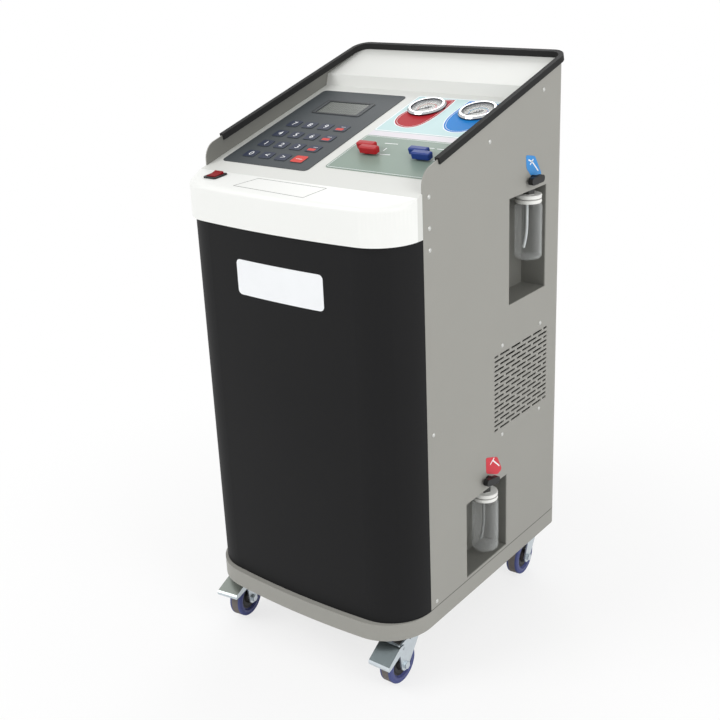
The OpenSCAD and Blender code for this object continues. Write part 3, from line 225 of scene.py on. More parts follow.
def noiseField(tree, size, detail=3.0):
    noise = tree.nodes.new("ShaderNodeTexNoise")
    noise.inputs["Scale"].default_value = 1 / size
    noise.inputs["Detail"].default_value = detail
    tree.links.new(spot(tree), noise.inputs["Vector"])
    return noise.outputs["Fac"]


def spanOf(tree, noise, low, high):
    return rampOf(tree, noise, *texture["noiseSpan"], low, high)


def newMaterial(name):
    made = bpy.data.materials.new(name)
    made.use_nodes = True
    return made, made.node_tree, made.node_tree.nodes["Principled BSDF"].inputs


def finish(name, colour, rough, vary, cloud, cloudSize, grain, relief, metal=0.0, specular=0.5, coat=0.0):
    made, tree, inputs = newMaterial(name)
    clouds = noiseField(tree, cloudSize)
    tint = mixColour(tree, clouds, shade(colour, 1 - cloud), shade(colour, 1 + cloud))
    tree.links.new(tint, inputs["Base Color"])
    fine = noiseField(tree, grain)
    uneven = spanOf(tree, fine, max(texture["leastRough"], rough - vary), min(1.0, rough + vary))
    tree.links.new(uneven, inputs["Roughness"])
    bump = tree.nodes.new("ShaderNodeBump")
    bump.inputs["Strength"].default_value = relief
    bump.inputs["Distance"].default_value = texture["bumpDepth"]
    tree.links.new(fine, bump.inputs["Height"])
    tree.links.new(bump.outputs["Normal"], inputs["Normal"])
    inputs["Metallic"].default_value = metal
    inputs["Specular IOR Level"].default_value = specular
    inputs["Coat Weight"].default_value = coat
    inputs["Coat Roughness"].default_value = texture["coatRough"]
    return made


finishes = {
    "panelCoat": finish("panelCoat", srgb(152, 151, 145), rough=0.5, vary=0.05, cloud=0.025,
                        cloudSize=0.16, grain=0.0011, relief=0.16, specular=0.35),
    "blackCoat": finish("blackCoat", srgb(24, 24, 25), rough=0.62, vary=0.05, cloud=0.1, cloudSize=0.2,
                        grain=0.0008, relief=0.3, specular=0.16),
    "whiteMoulding": finish("whiteMoulding", srgb(236, 237, 234), rough=0.38, vary=0.05, cloud=0.012,
                            cloudSize=0.2, grain=0.0022, relief=0.05, specular=0.45),
    # console top: a darker copy of the white moulding, painted shade
    "consoleMouldingShaded": finish("consoleMouldingShaded", srgb(214, 215, 211), rough=0.42, vary=0.05,
                              cloud=0.012, cloudSize=0.2, grain=0.0022, relief=0.05, specular=0.4),
    "edgeRubber": finish("edgeRubber", srgb(34, 34, 34), rough=0.72, vary=0.06, cloud=0.12,
                         cloudSize=0.05, grain=0.0006, relief=0.3, specular=0.22),
    "slateFilm": finish("slateFilm", srgb(64, 69, 72), rough=0.5, vary=0.05, cloud=0.03, cloudSize=0.08,
                        grain=0.0005, relief=0.1, specular=0.25),
    "greenBoard": finish("greenBoard", srgb(24, 92, 58), rough=0.42, vary=0.06, cloud=0.15,
                         cloudSize=0.02, grain=0.0012, relief=0.15),
    "cyanPrint": finish("cyanPrint", srgb(186, 214, 215), rough=0.42, vary=0.05, cloud=0.015,
                        cloudSize=0.06, grain=0.0006, relief=0.06, specular=0.35),
    "sagePrint": finish("sagePrint", srgb(132, 149, 138), rough=0.42, vary=0.05, cloud=0.04,
                        cloudSize=0.05, grain=0.0006, relief=0.06, specular=0.35),
    "pressedTin": finish("pressedTin", srgb(186, 188, 192), rough=0.36, vary=0.1, cloud=0.06,
                         cloudSize=0.02, grain=0.0008, relief=0.1, metal=1.0),
    # dial card: a light card toned down to grey, partly its own colour and partly painted shade
    "dialCardShaded": finish("dialCardShaded", srgb(204, 204, 201), rough=0.55, vary=0.04, cloud=0.01,
                       cloudSize=0.02, grain=0.0005, relief=0.03),
    "bezelChrome": finish("bezelChrome", srgb(205, 207, 210), rough=0.16, vary=0.05, cloud=0.04,
                          cloudSize=0.02, grain=0.0015, relief=0.03, metal=1.0),
    "needleBlack": finish("needleBlack", srgb(22, 22, 24), rough=0.5, vary=0.05, cloud=0.1,
                          cloudSize=0.02, grain=0.0006, relief=0.1),
    "valveBrass": finish("valveBrass", srgb(198, 164, 92), rough=0.34, vary=0.08, cloud=0.1,
                         cloudSize=0.03, grain=0.0009, relief=0.12, metal=1.0),
    "redHandle": finish("redHandle", srgb(170, 16, 26), rough=0.42, vary=0.06, cloud=0.06,
                        cloudSize=0.02, grain=0.0014, relief=0.12, specular=0.35, coat=0.04),
    "blueHandle": finish("blueHandle", srgb(14, 50, 126), rough=0.42, vary=0.06, cloud=0.06,
                         cloudSize=0.02, grain=0.0014, relief=0.12, specular=0.35, coat=0.04),
    "blackMoulding": finish("blackMoulding", srgb(20, 20, 21), rough=0.48, vary=0.06, cloud=0.1,
                            cloudSize=0.03, grain=0.0009, relief=0.2, specular=0.35),
    "redRocker": finish("redRocker", srgb(132, 10, 18), rough=0.55, vary=0.05, cloud=0.08,
                        cloudSize=0.012, grain=0.0014, relief=0.08, specular=0.15),
    "lidLacquer": finish("lidLacquer", srgb(236, 236, 232), rough=0.34, vary=0.07, cloud=0.04,
                         cloudSize=0.02, grain=0.0012, relief=0.08, specular=0.5),
    # niches: a darker grey than the panels, painted shade in the recesses
    "nicheShadeCoat": finish("nicheShadeCoat", srgb(112, 112, 107), rough=0.55, vary=0.05, cloud=0.03,
                        cloudSize=0.08, grain=0.0011, relief=0.16, specular=0.3),
    "screwZinc": finish("screwZinc", srgb(198, 199, 196), rough=0.36, vary=0.08, cloud=0.05,
                        cloudSize=0.004, grain=0.0005, relief=0.15, metal=0.35),
    "zincPlate": finish("zincPlate", srgb(200, 208, 213), rough=0.36, vary=0.09, cloud=0.1,
                        cloudSize=0.012, grain=0.0007, relief=0.2, metal=0.85),
    "finMetal": finish("finMetal", srgb(178, 181, 184), rough=0.42, vary=0.08, cloud=0.08,
                       cloudSize=0.02, grain=0.0006, relief=0.2, metal=1.0),
    "fanPlastic": finish("fanPlastic", srgb(42, 42, 44), rough=0.55, vary=0.06, cloud=0.1,
                         cloudSize=0.04, grain=0.0009, relief=0.2),
    "tankPaint": finish("tankPaint", srgb(70, 108, 152), rough=0.36, vary=0.06, cloud=0.06,
                        cloudSize=0.08, grain=0.0016, relief=0.12, coat=0.2),
    "pumpPaint": finish("pumpPaint", srgb(128, 34, 34), rough=0.42, vary=0.08, cloud=0.08,
                        cloudSize=0.03, grain=0.0028, relief=0.3),
    "drierPaint": finish("drierPaint", srgb(190, 183, 158), rough=0.42, vary=0.06, cloud=0.05,
                         cloudSize=0.04, grain=0.0012, relief=0.15),
    "wheelBlue": finish("wheelBlue", srgb(68, 74, 124), rough=0.42, vary=0.07, cloud=0.08,
                        cloudSize=0.012, grain=0.001, relief=0.15, specular=0.35),
    "treadGrey": finish("treadGrey", srgb(112, 106, 102), rough=0.7, vary=0.08, cloud=0.1,
                        cloudSize=0.008, grain=0.0009, relief=0.4, specular=0.25),
}

# Clear shells: see-through at the middle, with a tint toward the edge, and gloss
clears = {"ior": 1.46, "specular": 0.5, "smear": 0.012, "vary": 0.06, "blend": 0.14,
          "jarGlass": {"colour": srgb(222, 225, 224), "rough": 0.04, "least": 0.02, "gain": 0.75},
          "lensGlass": {"colour": srgb(236, 240, 242), "rough": 0.03, "least": 0.03, "gain": 0.1}}


def clearFinish(name):
    glass = clears[name]
    made, tree, inputs = newMaterial(name)
    inputs["Base Color"].default_value = glass["colour"]
    inputs["IOR"].default_value = clears["ior"]
    inputs["Specular IOR Level"].default_value = clears["specular"]
    smear = noiseField(tree, clears["smear"])
    uneven = spanOf(tree, smear, glass["rough"], glass["rough"] + clears["vary"])
    tree.links.new(uneven, inputs["Roughness"])
    edge = tree.nodes.new("ShaderNodeLayerWeight")
    edge.inputs["Blend"].default_value = clears["blend"]
    seen = rampOf(tree, edge.outputs["Facing"], 0.0, 1.0, glass["least"], glass["least"] + glass["gain"])
    tree.links.new(seen, inputs["Alpha"])
    return made


# Display glass with faint rows of character cells
display = {"lit": srgb(80, 85, 79), "dark": srgb(64, 69, 63), "dim": 0.97, "cell": (0.0056, 0.0098),
           "gap": 0.0005, "haze": 0.02, "hazeDetail": 2.0, "rough": (0.16, 0.26)}


def displayFinish(name):
    made, tree, inputs = newMaterial(name)
    turn = tree.nodes.new("ShaderNodeMapping")
    turn.vector_type = "POINT"
    turn.inputs["Rotation"].default_value = (-math.radians(console["slope"]), 0, 0)
    tree.links.new(spot(tree), turn.inputs["Vector"])
    bricks = tree.nodes.new("ShaderNodeTexBrick")
    bricks.offset = 0
    settings = {"Vector": turn.outputs["Vector"], "Scale": 1.0, "Brick Width": display["cell"][0],
                "Row Height": display["cell"][1], "Mortar Size": display["gap"], "Color1": display["lit"],
                "Color2": shade(display["lit"], display["dim"]), "Mortar": display["dark"]}
    for socket, value in settings.items():
        feed(tree, bricks.inputs[socket], value)
    tree.links.new(bricks.outputs["Color"], inputs["Base Color"])
    haze = noiseField(tree, display["haze"], display["hazeDetail"])
    tree.links.new(spanOf(tree, haze, *display["rough"]), inputs["Roughness"])
    return made


finishes["jarGlass"] = clearFinish("jarGlass")
finishes["lensGlass"] = clearFinish("lensGlass")
finishes["displayGlass"] = displayFinish("displayGlass")

# Which nodes take a finish as it is
dressing = {
    "panelCoat": ["base_tray"],
    "nicheShadeCoat": ["upper_niche", "lower_niche"],
    "blackCoat": ["front_panel"],
    "whiteMoulding": ["front_lip"],
    "consoleMouldingShaded": ["top_console"],
    "edgeRubber": ["edge_trim"],
    "slateFilm": ["keypad_overlay"],
    "displayGlass": ["lcd_window"],
    "greenBoard": ["control_board"],
    "cyanPrint": ["gauge_plate"],
    "sagePrint": ["valve_plate"],
    "pressedTin": ["gauge_cases"],
    "dialCardShaded": ["gauge_dials"],
    "lensGlass": ["gauge_lenses"],
    "needleBlack": ["left_needle", "right_needle"],
    "valveBrass": ["valve_manifold", "oil_valves", "hose_fittings"],
    "redHandle": ["left_valve_handle"],
    "blueHandle": ["right_valve_handle"],
    "blackMoulding": ["switch_housing", "upper_oil_knob", "lower_oil_knob", "power_inlet", "compressor"],
    "redRocker": ["power_rocker"],
    "jarGlass": ["upper_bottle", "lower_bottle"],
    "screwZinc": ["panel_screws"],
    "zincPlate": ["castor_plates", "castor_bolts"] + [name + "_fork" for name in castors],
    "finMetal": ["condenser", "weigh_platform"],
    "fanPlastic": ["fan_frame", "fan_rotor"],
    "tankPaint": ["storage_tank"],
    "pumpPaint": ["vacuum_pump"],
    "drierPaint": ["filter_drier"],
}


def dress(surface, *names):
    for name in names:
        piece = cadNodes[name]
        if not piece.material_slots:
            piece.data.materials.append(surface)
        for slot in piece.material_slots:
            slot.material = surface


def overpaint(made, factor, colour):
    # a second colour over the first, where factor is 1
    tree = made.node_tree
    tint = tree.nodes["Principled BSDF"].inputs["Base Color"]
    tree.links.new(mixColour(tree, factor, tint.links[0].from_socket, colour), tint)


# Lids: white lacquer with one rolled groove drawn as a band of painted shade, a dark filler stub above each
# lid and a dip tube below it; the lower tube is a darker copy of the upper one, painted shade
lids = {"upper": (0.784, 0.7992), "lower": (0.256, 0.2712), "between": 0.5, "stub": srgb(58, 58, 57),
        "tube": {"upper": srgb(206, 210, 211), "lower": srgb(120, 123, 121)}, "fade": 0.0004,
        "grooveAt": 0.5, "grooveHalf": 0.0011, "grooveShade": srgb(150, 150, 146)}


def dressLids():
    made = finishes["lidLacquer"]
    tree = made.node_tree
    fade = lids["fade"]
    for name, side in (("upper", 1), ("lower", -1)):
        low, high = lids[name]
        height = localAxis(tree, "Object", (0, 0, 1))
        here = rampOf(tree, height, lids["between"], lids["between"] + side * fade)
        # the lower lid's tube takes a darker grey than the upper one: painted shade
        for edge, step, colour in ((high, fade, lids["stub"]), (low, -fade, lids["tube"][name])):
            past = rampOf(tree, height, edge, edge + step)
            overpaint(made, mathNode(tree, "MULTIPLY", here, past), colour)
        middle = low + (high - low) * lids["grooveAt"]
        # a thin grey band at the rolled groove: painted shade
        overpaint(made, bandOf(tree, height, middle, lids["grooveHalf"]), lids["grooveShade"])
    dress(made, "bottle_caps")


# Panels: a band of painted shade along the crease above the tray, and painted shade on the left panel's
# inner face
panels = {"seamHeight": 0.1329, "seamHalf": 0.0009, "seam": srgb(84, 84, 80), "inner": srgb(116, 116, 111),
          "innerShadeFacing": (0.5, 0.9)}


def dressPanels():
    for name in ("right_side_panel", "left_side_panel", "rear_panel"):
        made = finishes["panelCoat"].copy()
        made.name = name + "Coat"
        tree = made.node_tree
        if name == "left_side_panel":
            # the left panel's inward-facing side takes a darker grey: painted shade
            inward = rampOf(tree, localAxis(tree, "Normal", (1, 0, 0)), *panels["innerShadeFacing"])
            overpaint(made, inward, panels["inner"])
        height = localAxis(tree, "Object", (0, 0, 1))
        # a dark band at the height where the panels meet the tray: painted shade in that crease
        overpaint(made, bandOf(tree, height, panels["seamHeight"], panels["seamHalf"]), panels["seam"])
        dress(made, name)


# Bezels: bright chrome tops, and sides darkened by a painted dark reflection
bezels = {"wall": srgb(98, 100, 103), "facing": (0.8, 0.45)}


def dressBezels():
    made = finishes["bezelChrome"]
    tree = made.node_tree
    slope = math.radians(console["slope"])
    upward = localAxis(tree, "Normal", (0, -math.sin(slope), math.cos(slope)))
    # faces that turn away from the console's up direction take a painted dark reflection
    overpaint(made, rampOf(tree, upward, *bezels["facing"]), bezels["wall"])
    dress(made, "gauge_bezels")


# Wheels: grey tread, blue shoulders and rim, black middle
wheels = {"treadHalf": 0.0068, "middle": 0.0242, "edge": 0.0006, "blue": srgb(76, 83, 130),
          "black": srgb(34, 30, 31)}


def dressWheels():
    for name, (_, _, yaw) in castors.items():
        turn = math.radians(yaw)
        for part, surface in (("_tyre", "treadGrey"), ("_wheel", "wheelBlue")):
            piece = cadNodes[name + part]
            made = finishes[surface].copy()
            made.name = name + surface[0].upper() + surface[1:]
            tree = made.node_tree
            axle = piece.matrix_world.to_3x3().inverted() @ Vector((math.cos(turn), math.sin(turn), 0))
            centre = sum((Vector(c) for c in piece.bound_box), Vector()) / 8
            offset = vectorNode(tree, "SUBTRACT", "Vector", spot(tree), centre)
            if part == "_tyre":
                along = mathNode(tree, "ABSOLUTE", vectorNode(tree, "DOT_PRODUCT", "Value", offset, axle))
                factor = rampOf(tree, along, wheels["treadHalf"], wheels["treadHalf"] + wheels["edge"])
                overpaint(made, factor, wheels["blue"])
            else:
                across = vectorNode(tree, "CROSS_PRODUCT", "Vector", offset, axle)
                radius = vectorNode(tree, "LENGTH", "Value", across)
                factor = rampOf(tree, radius, wheels["middle"], wheels["middle"] - wheels["edge"])
                overpaint(made, factor, wheels["black"])
            dress(made, name + part)


# Brake pedals: slate tops, zinc edges; the same slate top is lighter on the front-left pedal as painted
# light and darker on the front-right pedal as painted shade
pedals = {"tops": {"front_left": srgb(150, 156, 150), "front_right": srgb(92, 100, 102)},
          "facing": (0.5, 0.75)}


def dressPedals():
    for name, top in pedals["tops"].items():
        made = finishes["zincPlate"].copy()
        made.name = name + "PedalZinc"
        tree = made.node_tree
        # each upward face takes its pedal's slate, lighter on the left as painted light, darker on the
        # right as painted shade
        overpaint(made, rampOf(tree, localAxis(tree, "Normal", (0, 0, 1)), *pedals["facing"]), top)
        dress(made, name + "_pedal")


for coat, names in dressing.items():
    dress(finishes[coat], *names)
dressLids()
dressPanels()
dressBezels()
dressWheels()
dressPedals()
print("nodes dressed")


# Helpers for the new pieces, in millimetres until they are placed
def consolePlace():
    foot = Matrix.Translation((0, cabinet["frontY"], console["height"]))
    return foot @ Matrix.Rotation(math.radians(console["slope"]), 4, "X")


def addPiece(name, bm, surface, body, place=Matrix.Identity(4)):
    bmesh.ops.transform(bm, matrix=Matrix.Scale(mm, 4) @ place, verts=bm.verts)
    bmesh.ops.remove_doubles(bm, verts=bm.verts, dist=1e-7)
    bmesh.ops.recalc_face_normals(bm, faces=bm.faces)
    mesh = bpy.data.meshes.new(name)
    bm.to_mesh(mesh)
    bm.free()
    mesh.materials.append(surface)
    piece = bpy.data.objects.new(name, mesh)
    scene.collection.objects.link(piece)
    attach(piece, body)
    return piece


def joinInto(target, source):
    mesh = bpy.data.meshes.new("scrap")
    source.to_mesh(mesh)
    source.free()
    target.from_mesh(mesh)
    bpy.data.meshes.remove(mesh)


def roundedFace(size, radius, centre, low):
    bm = bmesh.new()
    made = bmesh.ops.create_grid(bm, x_segments=1, y_segments=1, size=0.5)
    bmesh.ops.scale(bm, vec=(size[0], size[1], 1), verts=made["verts"])
    bmesh.ops.bevel(bm, geom=bm.verts[:], offset=radius, offset_type="OFFSET", affect="VERTICES",
                    segments=cornerSteps, profile=0.5, material=-1)
    bmesh.ops.translate(bm, vec=(centre[0], centre[1], low), verts=bm.verts)
    return bm


def thicken(bm, thick):
    raised = bmesh.ops.extrude_face_region(bm, geom=bm.faces[:])
    tops = [v for v in raised["geom"] if isinstance(v, bmesh.types.BMVert)]
    bmesh.ops.translate(bm, vec=(0, 0, thick), verts=tops)


def addPlate(target, size, radius, centre, low, thick):
    bm = roundedFace(size, radius, centre, low)
    thicken(bm, thick)
    joinInto(target, bm)


def addOutline(target, size, radius, centre, line, low, thick):
    bm = roundedFace(size, radius, centre, low)
    inner = bm.faces[:]
    bmesh.ops.inset_individual(bm, faces=inner, thickness=line, use_even_offset=True)
    bmesh.ops.delete(bm, geom=inner, context="FACES")
    thicken(bm, thick)
    joinInto(target, bm)


def addBar(target, start, end, width, low, thick):
    a, b = Vector(start), Vector(end)
    bm = bmesh.new()
    made = bmesh.ops.create_grid(bm, x_segments=1, y_segments=1, size=0.5)
    bmesh.ops.scale(bm, vec=((b - a).length, width, 1), verts=made["verts"])
    thicken(bm, thick)
    turn = Matrix.Rotation(math.atan2(b.y - a.y, b.x - a.x), 4, "Z")
    middle = (a + b) / 2
    bmesh.ops.transform(bm, matrix=Matrix.Translation((middle.x, middle.y, low)) @ turn, verts=bm.verts)
    joinInto(target, bm)


words = {"sizeToHeight": 1.38, "curveSteps": 3}


def addWord(target, word, height, centre, low, thick):
    curve = bpy.data.curves.new("scrapWord", "FONT")
    curve.body = word
    curve.size = height * words["sizeToHeight"]
    curve.align_x = "CENTER"
    curve.align_y = "CENTER"
    curve.extrude = thick / 2
    curve.resolution_u = words["curveSteps"]
    holder = bpy.data.objects.new("scrapWord", curve)
    scene.collection.objects.link(holder)
    graph = bpy.context.evaluated_depsgraph_get()
    mesh = bpy.data.meshes.new_from_object(holder.evaluated_get(graph))
    mesh.transform(Matrix.Translation((centre[0], centre[1], low + thick / 2)))
    target.from_mesh(mesh)
    bpy.data.objects.remove(holder)
    bpy.data.curves.remove(curve)
    bpy.data.meshes.remove(mesh)


inks = {
    "white": finish("whiteInk", srgb(238, 240, 242), rough=0.5, vary=0.04, cloud=0.02, cloudSize=0.03,
                    grain=0.0006, relief=0.04),
    "navy": finish("navyInk", srgb(19, 31, 57), rough=0.4, vary=0.05, cloud=0.06, cloudSize=0.012,
                   grain=0.0006, relief=0.08, specular=0.35),
    "red": finish("redInk", srgb(206, 48, 36), rough=0.4, vary=0.05, cloud=0.04, cloudSize=0.012,
                  grain=0.0006, relief=0.06, specular=0.35),
    "crimson": finish("crimsonInk", srgb(206, 42, 58), rough=0.42, vary=0.05, cloud=0.03,
                      cloudSize=0.03, grain=0.0006, relief=0.06, specular=0.3),
    "azure": finish("azureInk", srgb(50, 138, 208), rough=0.42, vary=0.05, cloud=0.03, cloudSize=0.03,
                    grain=0.0006, relief=0.06, specular=0.3),
    "dropRed": finish("dropRedInk", srgb(172, 28, 40), rough=0.5, vary=0.05, cloud=0.03, cloudSize=0.03,
                      grain=0.0006, relief=0.06, specular=0.12),
    "dropBlue": finish("dropBlueInk", srgb(22, 126, 204), rough=0.5, vary=0.05, cloud=0.03,
                       cloudSize=0.03, grain=0.0006, relief=0.06, specular=0.12),
    "black": finish("blackInk", srgb(24, 26, 30), rough=0.45, vary=0.05, cloud=0.05, cloudSize=0.02,
                    grain=0.0006, relief=0.06, specular=0.3),
    "grey": finish("greyInk", srgb(112, 113, 110), rough=0.45, vary=0.05, cloud=0.03, cloudSize=0.02,
                   grain=0.0006, relief=0.05),
    "lilac": finish("lilacInk", srgb(216, 212, 217), rough=0.42, vary=0.05, cloud=0.02, cloudSize=0.03,
                    grain=0.0006, relief=0.05),
    "green": finish("greenInk", srgb(52, 140, 84), rough=0.45, vary=0.05, cloud=0.03, cloudSize=0.02,
                    grain=0.0006, relief=0.05),
}

# Keypad: printed key faces, their digits and the lines round the display
keypad = {"x": -115.0, "columnStep": 36.7, "rowStep": 41.0, "firstRow": 56.0, "face": (26.0, 23.0),
          "corner": 3.8, "thick": 0.18, "markThick": 0.06, "digitHeight": 13.0,
          "digits": [["0", "<", ">"], ["1", "2", "3"], ["4", "5", "6"], ["7", "8", "9"]],
          "bigBar": {"span": (-7.0, 7.0), "up": 0.0, "width": 1.1},
          "smallBar": {"span": (-4.0, 6.0), "up": 4.14, "width": 0.9},
          "patch": {"size": (16.12, 7.82), "corner": 2.0, "shift": (-1.5, -4.6)}, "displayAt": 256.0,
          "displayLines": [{"size": (112.0, 56.0), "radius": 5.0, "line": 2.4, "thick": 0.12},
                           {"size": (95.4, 49.4), "radius": 1.2, "line": 1.2, "thick": 0.08}]}


def buildKeypad():
    navy, red, marks, lines = bmesh.new(), bmesh.new(), bmesh.new(), bmesh.new()
    low = console["keyTop"]
    top, markThick = low + keypad["thick"], keypad["markThick"]

    def addMark(bar, x, s):
        left, right = bar["span"]
        addBar(marks, (x + left, s + bar["up"]), (x + right, s + bar["up"]), bar["width"], top, markThick)

    for row, digits in enumerate(keypad["digits"]):
        s = keypad["firstRow"] + row * keypad["rowStep"]
        for column in range(len(digits) + 1):
            x = keypad["x"] + (column - len(digits) / 2) * keypad["columnStep"]
            last = column == len(digits)
            face = red if last and row == 0 else navy
            addPlate(face, keypad["face"], keypad["corner"], (x, s), low, keypad["thick"])
            if not last:
                addWord(marks, digits[column], keypad["digitHeight"], (x, s), top, markThick)
            elif row == 0:
                addMark(keypad["bigBar"], x, s)
            else:
                patch = keypad["patch"]
                centre = (x + patch["shift"][0], s + patch["shift"][1])
                addPlate(red, patch["size"], patch["corner"], centre, top, markThick)
                addMark(keypad["smallBar"], x, s)
    for line in keypad["displayLines"]:
        addOutline(lines, centre=(keypad["x"], keypad["displayAt"]), low=low, **line)
    place = consolePlace()
    addPiece("keyFaces", navy, inks["navy"], "cabinet", place)
    addPiece("keyFacesRed", red, inks["red"], "cabinet", place)
    addPiece("keyDigits", marks, inks["white"], "cabinet", place)
    addPiece("displayLines", lines, inks["black"], "cabinet", place)


buildKeypad()
print("keypad printed")

# Where the two gauges stand, and their printed dials
# Ticks are (length, width), arcs (inner radius, outer radius, from, to)
dials = {"bezel": 34.8, "centres": ((52.0, 286.0), (158.0, 286.0)), "low": 1.0, "layer": 0.05,
         "outer": 27.5, "start": 225.0, "sweep": 270.0, "steps": 50, "longEvery": 10, "midEvery": 5,
         "longTick": (4.4, 0.55), "midTick": (3.2, 0.32), "shortTick": (2.0, 0.32),
         "numbers": ((0, 5, 10, 15, 20, 25), (0, 2, 4, 6, 8, 10)), "numberHeight": 3.6, "numberIn": 8.2,
         "rimArc": (27.5, 27.9, -45, 225), "scaleArc": (16.2, 17.4, -45, 225),
         "greenArc": (14.6, 15.4, 45, 225), "redArc": (14.6, 15.4, -45, 40), "arcSteps": 40}

# Instrument plates: coloured drops, borders, a band between the plates and flow lines
plates = {"x": 108.0, "width": 206.0, "gauge": (258.5, 145.0), "valve": (105.0, 124.0), "layer": 0.12,
          "rim": 1.8, "lineInset": 3.0, "lineWidth": 0.7, "lineThick": 0.04, "bend": 46, "bendSteps": 4,
          "cutHalf": 1.0, "cutSteps": 72,
          "border": {"inset": 1.0, "radius": 5.5, "line": 2.4, "thick": 0.08},
          "fineBorder": {"inset": 5.0, "radius": 4.5, "line": 0.9, "thick": 0.06},
          "band": {"gap": 1.0, "corner": 1.0, "thick": 0.8}, "flow": {"width": 1.7, "thick": 0.08},
          "redDrop": ("dropRed", [(89, 326), (91.5, 298), (92.4, 257), (86, 221), (72, 205), (51, 203),
                                  (27, 214), (15, 239), (17, 265), (32, 304), (68, 325)]),
          "blueDrop": ("dropBlue", [(116, 326), (112, 277), (114, 248), (125, 220), (142, 205), (163, 202),
                                    (180, 210), (194, 234), (200, 270), (196, 310), (176, 327)]),
          "flowLines": [((59.8, 143), (85.8, 144.4)), ((74.5, 127.5), (74.5, 117)),
                        ((76.2, 104.5), (96, 106)), ((145.8, 141.5), (160, 143.2)),
                        ((166, 142), (184, 142.6)), ((180.5, 127.5), (180.5, 117)),
                        ((182, 104.5), (202, 106))]}


def cutGauges(bm, low):
    # round holes through a printed layer, where the gauges stand in it
    blankMesh, cutterMesh = bpy.data.meshes.new("scrapBlank"), bpy.data.meshes.new("scrapCutter")
    bm.to_mesh(blankMesh)
    bm.free()
    cutter = bmesh.new()
    for x, s in dials["centres"]:
        made = bmesh.ops.create_cone(cutter, cap_ends=True, segments=plates["cutSteps"],
                                     radius1=dials["bezel"], radius2=dials["bezel"],
                                     depth=2 * plates["cutHalf"])
        bmesh.ops.translate(cutter, vec=(x, s, low), verts=made["verts"])
    cutter.to_mesh(cutterMesh)
    cutter.free()
    blank = bpy.data.objects.new("scrapBlank", blankMesh)
    tool = bpy.data.objects.new("scrapCutter", cutterMesh)
    for scrap in (blank, tool):
        scene.collection.objects.link(scrap)
    cut = blank.modifiers.new("rounds", "BOOLEAN")
    cut.operation, cut.solver, cut.object = "DIFFERENCE", "EXACT", tool
    graph = bpy.context.evaluated_depsgraph_get()
    done = bpy.data.meshes.new_from_object(blank.evaluated_get(graph))
    result = bmesh.new()
    result.from_mesh(done)
    for scrap in (blank, tool):
        bpy.data.objects.remove(scrap)
    for scrap in (blankMesh, cutterMesh, done):
        bpy.data.meshes.remove(scrap)
    return result


def dropFace(points, low):
    # a face from a few corners; all but the tip are rounded into one flowing edge
    bm = bmesh.new()
    corners = [bm.verts.new((x, s, low)) for x, s in points]
    bm.faces.new(corners)
    bmesh.ops.bevel(bm, geom=corners[1:], offset=plates["bend"], offset_type="PERCENT", affect="VERTICES",
                    segments=plates["bendSteps"], profile=0.5, material=-1)
    bm.normal_update()
    if bm.faces[:][0].normal.z < 0:
        bmesh.ops.reverse_faces(bm, faces=bm.faces)
    return bm


def dropLayer(points, inset, line, low, thick):
    # a drop set in from its edge, filled, or only a line along its new edge
    bm = dropFace(points, low)
    core = bm.faces[:]
    if inset:
        bmesh.ops.inset_individual(bm, faces=core, thickness=inset, use_even_offset=True)
        bmesh.ops.delete(bm, geom=[f for f in bm.faces if f not in core], context="FACES")
    if line:
        bmesh.ops.inset_individual(bm, faces=core, thickness=line, use_even_offset=True)
        bmesh.ops.delete(bm, geom=core, context="FACES")
    thicken(bm, thick)
    return cutGauges(bm, console["film"])


def addBorder(target, border, length, s):
    size = (plates["width"] - border["inset"], length - border["inset"])
    addOutline(target, size, border["radius"], (plates["x"], s), border["line"], console["film"],
               border["thick"])


def buildPlates():
    place = consolePlace()
    low, layer, rim = console["film"], plates["layer"], plates["rim"]
    white, lilac = bmesh.new(), bmesh.new()
    for name in ("redDrop", "blueDrop"):
        ink, points = plates[name]
        joinInto(white, dropLayer(points, 0, rim, low, layer))
        field = dropLayer(points, rim, 0, low, layer)
        addPiece(name, field, inks[ink], "cabinet", place)
        inset = rim + plates["lineInset"]
        joinInto(white, dropLayer(points, inset, plates["lineWidth"], low + layer, plates["lineThick"]))
    gaugeS, gaugeL = plates["gauge"]
    valveS, valveL = plates["valve"]
    addBorder(white, plates["border"], gaugeL, gaugeS)
    addBorder(white, plates["fineBorder"], valveL, valveS)
    band = plates["band"]
    top = valveS + valveL / 2
    bottom = gaugeS - gaugeL / 2
    addPlate(lilac, (plates["width"], bottom - top - band["gap"]), band["corner"],
             (plates["x"], (top + bottom) / 2), 0.0, band["thick"])
    for a, b in plates["flowLines"]:
        addBar(white, a, b, plates["flow"]["width"], low, plates["flow"]["thick"])
    addPiece("plateLines", white, inks["white"], "cabinet", place)
    addPiece("plateBand", lilac, inks["lilac"], "cabinet", place)


buildPlates()
print("instrument plates printed")


def addArc(target, centre, inner, outer, start, end):
    bm = bmesh.new()
    a = bm.verts.new((inner, 0, 0))
    b = bm.verts.new((outer, 0, 0))
    edge = bm.edges.new((a, b))
    bmesh.ops.rotate(bm, cent=(0, 0, 0), matrix=Matrix.Rotation(math.radians(start), 3, "Z"), verts=[a, b])
    bmesh.ops.spin(bm, geom=[a, b, edge], cent=(0, 0, 0), axis=(0, 0, 1), angle=math.radians(end - start),
                   steps=dials["arcSteps"], use_duplicate=False)
    bmesh.ops.recalc_face_normals(bm, faces=bm.faces)
    thicken(bm, dials["layer"])
    bmesh.ops.translate(bm, vec=(centre[0], centre[1], dials["low"]), verts=bm.verts)
    joinInto(target, bm)


